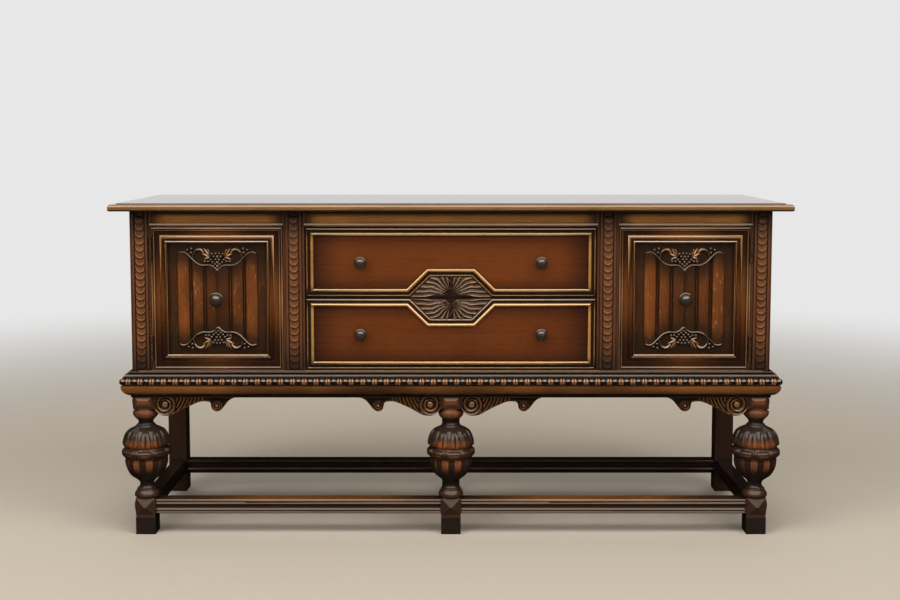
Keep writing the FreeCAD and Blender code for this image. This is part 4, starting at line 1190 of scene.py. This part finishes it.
def storedGlow(finish):
    # the share that storeGlow has left on the points
    return finish.add("Attribute", {"attribute_name": "glow"}, {}, "Fac")


def scaleMask(finish):
    # painted highlight at each tip and painted shadow under the scale above, faded at the pilaster's foot and
    # head
    return storedGlow(finish) * pilasterMask(finish)


def frameMask(low, high):
    # dark corners and a darker foot
    corners = nearCorner(low, high, 0.05, 0.19)

    def mask(finish):
        return corners(finish) * (finish.z.between(low.z - 0.03, low.z + 0.13) * 0.65 + 0.35)

    return mask


def crestHighlight(finish):
    # a painted highlight on the medallion's crests
    return finish.y.between(*medallion["crest"])


def drawerGoldMask(finish):
    # gilt along the runs and halfway up the ends, brown in the corners
    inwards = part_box("drawer_upper_front")[1].x - finish.x.size()
    runs = inwards.between(0.022, 0.16) * 0.85 + inwards.between(0.02, 0.03) * 0.15
    ends = 0.0
    for level in ("upper", "lower"):
        low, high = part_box("drawer_%s_front" % level)
        half = (high.z - low.z) / 2
        ends = (finish.z - (low.z + half)).size().between(half * 0.92, half * 0.55) + ends
    return runs.most(ends * inwards.between(0.032, 0.026) * 1.25)


def buildDoors():
    carvedWood = woodFinish("carvedWood", carvingLook, storedGlow)
    panelWood = woodFinish("panelWood", foldLook, storedGlow)
    for side in ("left", "right"):
        body = "door_" + side
        low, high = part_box(body + "_frame")
        dress(nodes[body + "_frame"], woodFinish("frameWood_" + side, frameLook, frameMask(low, high)))
        corners = nearCorner(low, high, 0.06, 0.22)
        ring, bead = doorMouldings(side)
        mouldingWood = woodFinish("mouldingWood_" + side, mouldingLook, corners)
        finishPiece(ring, body, mouldingWood, 30)
        edgeWood = woodFinish("edgeBeadWood_" + side, edgeBeadLook, corners)
        finishPiece(bead, body, edgeWood, 30)
        finishPiece(foldedPanel(side), body, panelWood, 30)
        finishPiece(doorCarving(side), body, carvedWood, 50)
        piece = turnedKnobs(body + "_turned_knob", body + "_knob", knobRadius["door"], (0,))
        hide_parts(body + "_knob")
        finishPiece(piece, body, knobWood, 30)


def buildDrawers():
    goldWood = woodFinish("goldWood", goldLook, drawerGoldMask)
    medallionWood = woodFinish("medallionWood", medallionLook, crestHighlight)
    for level in ("upper", "lower"):
        body = "drawer_" + level
        low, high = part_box(body + "_front")
        look = dict(veneerLook, amount=veneerAmount[level])
        dress(nodes[body + "_front"], woodFinish("veneer_" + level, look, insideBox(low, high, 0.12, 0.075)))
        finishPiece(drawerMoulding(level), body, goldWood, 30)
        finishPiece(medallionHalf(level), body, medallionWood, 60)
        piece = turnedKnobs(body + "_turned_knobs", body + "_knobs", knobRadius["drawer"], (-1, 1))
        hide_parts(body + "_knobs")
        finishPiece(piece, body, knobWood, 30)


# (height over the frieze's foot, forward of its face), top to bottom
friezeBeadSection = ((8.2, -0.3), (8.0, 0.2), (4.2, 1.7), (3.2, 1.8), (2.6, 1.6), (2.2, -0.3))
# (height over the stretcher's foot, forward of its back), top to bottom: four reeds and a hollow
stretcherSection = (
    (40, 0), (40, 37.2), (36.2, 39.8), (35, 39.8), (33.8, 37.6), (32, 37.2), (27.8, 40), (26.2, 39.7),
    (25, 37.2), (24, 36.4), (15.2, 36.4), (14.4, 37), (10.4, 39.7), (9, 39.5), (7.8, 37.2), (6.4, 37.2),
    (2.8, 39.6), (1.2, 39.2), (0, 37.4), (0, 0))
stretcherStart = 26.0
# Height over which the top reed's glow comes in, and distance from the run's middle where it goes out and in
reedGlow = {"height": (0.0865, 0.0890), "run": (0.36, 0.12)}


def friezeBeads():
    # a thin bead along the foot of each frieze bay
    low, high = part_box("frieze_rails")
    section = [(low.z / mm + height, -low.y / mm + forward) for height, forward in friezeBeadSection]
    beads = [bar("bead", left / mm, right / mm, section, 0.6) for left, right in caseBays()]
    return joinAll(beads, "frieze_beads")


def frontStretchers():
    # from the outer legs to the sides of the centre leg
    low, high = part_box("stretchers_front")
    section = [(low.z / mm + height, -high.y / mm + forward) for height, forward in stretcherSection]
    ends = (low.x / mm, -stretcherStart), (stretcherStart, high.x / mm)
    halves = [bar("stretcher", left, right, section, 0.5) for left, right in ends]
    piece = joinAll(halves, "stretchers_front_reeded")
    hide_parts("stretchers_front")
    return piece


def buildCase():
    scaleWood = woodFinish("scaleWood", scaleLook, scaleMask)
    for name in pilasters:
        finishPiece(pilasterScales(name), "case_and_stand", scaleWood, 40)
    beadWood = woodFinish("friezeBeadWood", friezeBeadLook, friezeMask)
    finishPiece(friezeBeads(), "case_and_stand", beadWood, 40)


def reedTopLight(finish):
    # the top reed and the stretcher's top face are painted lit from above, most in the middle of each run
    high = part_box("stretchers_front")[1]
    fromMid = (finish.x.size() - (high.x - 0.027) / 2).size()
    return finish.z.between(*reedGlow["height"]) * fromMid.between(*reedGlow["run"]) * 0.38 + 0.08


def buildStand():
    legWood = woodFinish("legWood", legLook, storedGlow)
    first = carvedLeg(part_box("leg_front_centre")[1].z / mm)
    for side in ("left", "centre", "right"):
        low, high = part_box("leg_front_" + side)
        piece = moved(copyOf(first), (low.x + high.x) / 2, (low.y + high.y) / 2)
        piece.name = "leg_front_%s_carved" % side
        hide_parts("leg_front_" + side)
        dress(piece, legWood)
        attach(piece, "case_and_stand")
    bpy.data.objects.remove(first)
    piece = joinAll([carvedBracket("bracket", *start) for start in bracket["starts"]], "brackets_carved")
    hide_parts("brackets")
    bracketWood = woodFinish("bracketWood", bracketLook, storedGlow)
    finishPiece(piece, "case_and_stand", bracketWood, 40)
    stretcherWood = woodFinish("stretcherWood", stretcherLook, reedTopLight)
    finishPiece(frontStretchers(), "case_and_stand", stretcherWood, 15)


knobWood = woodFinish("knobWood", knobLook)
buildDoors()
print("doors carved")
buildDrawers()
print("drawers carved")
buildCase()
buildStand()
print("stand carved")
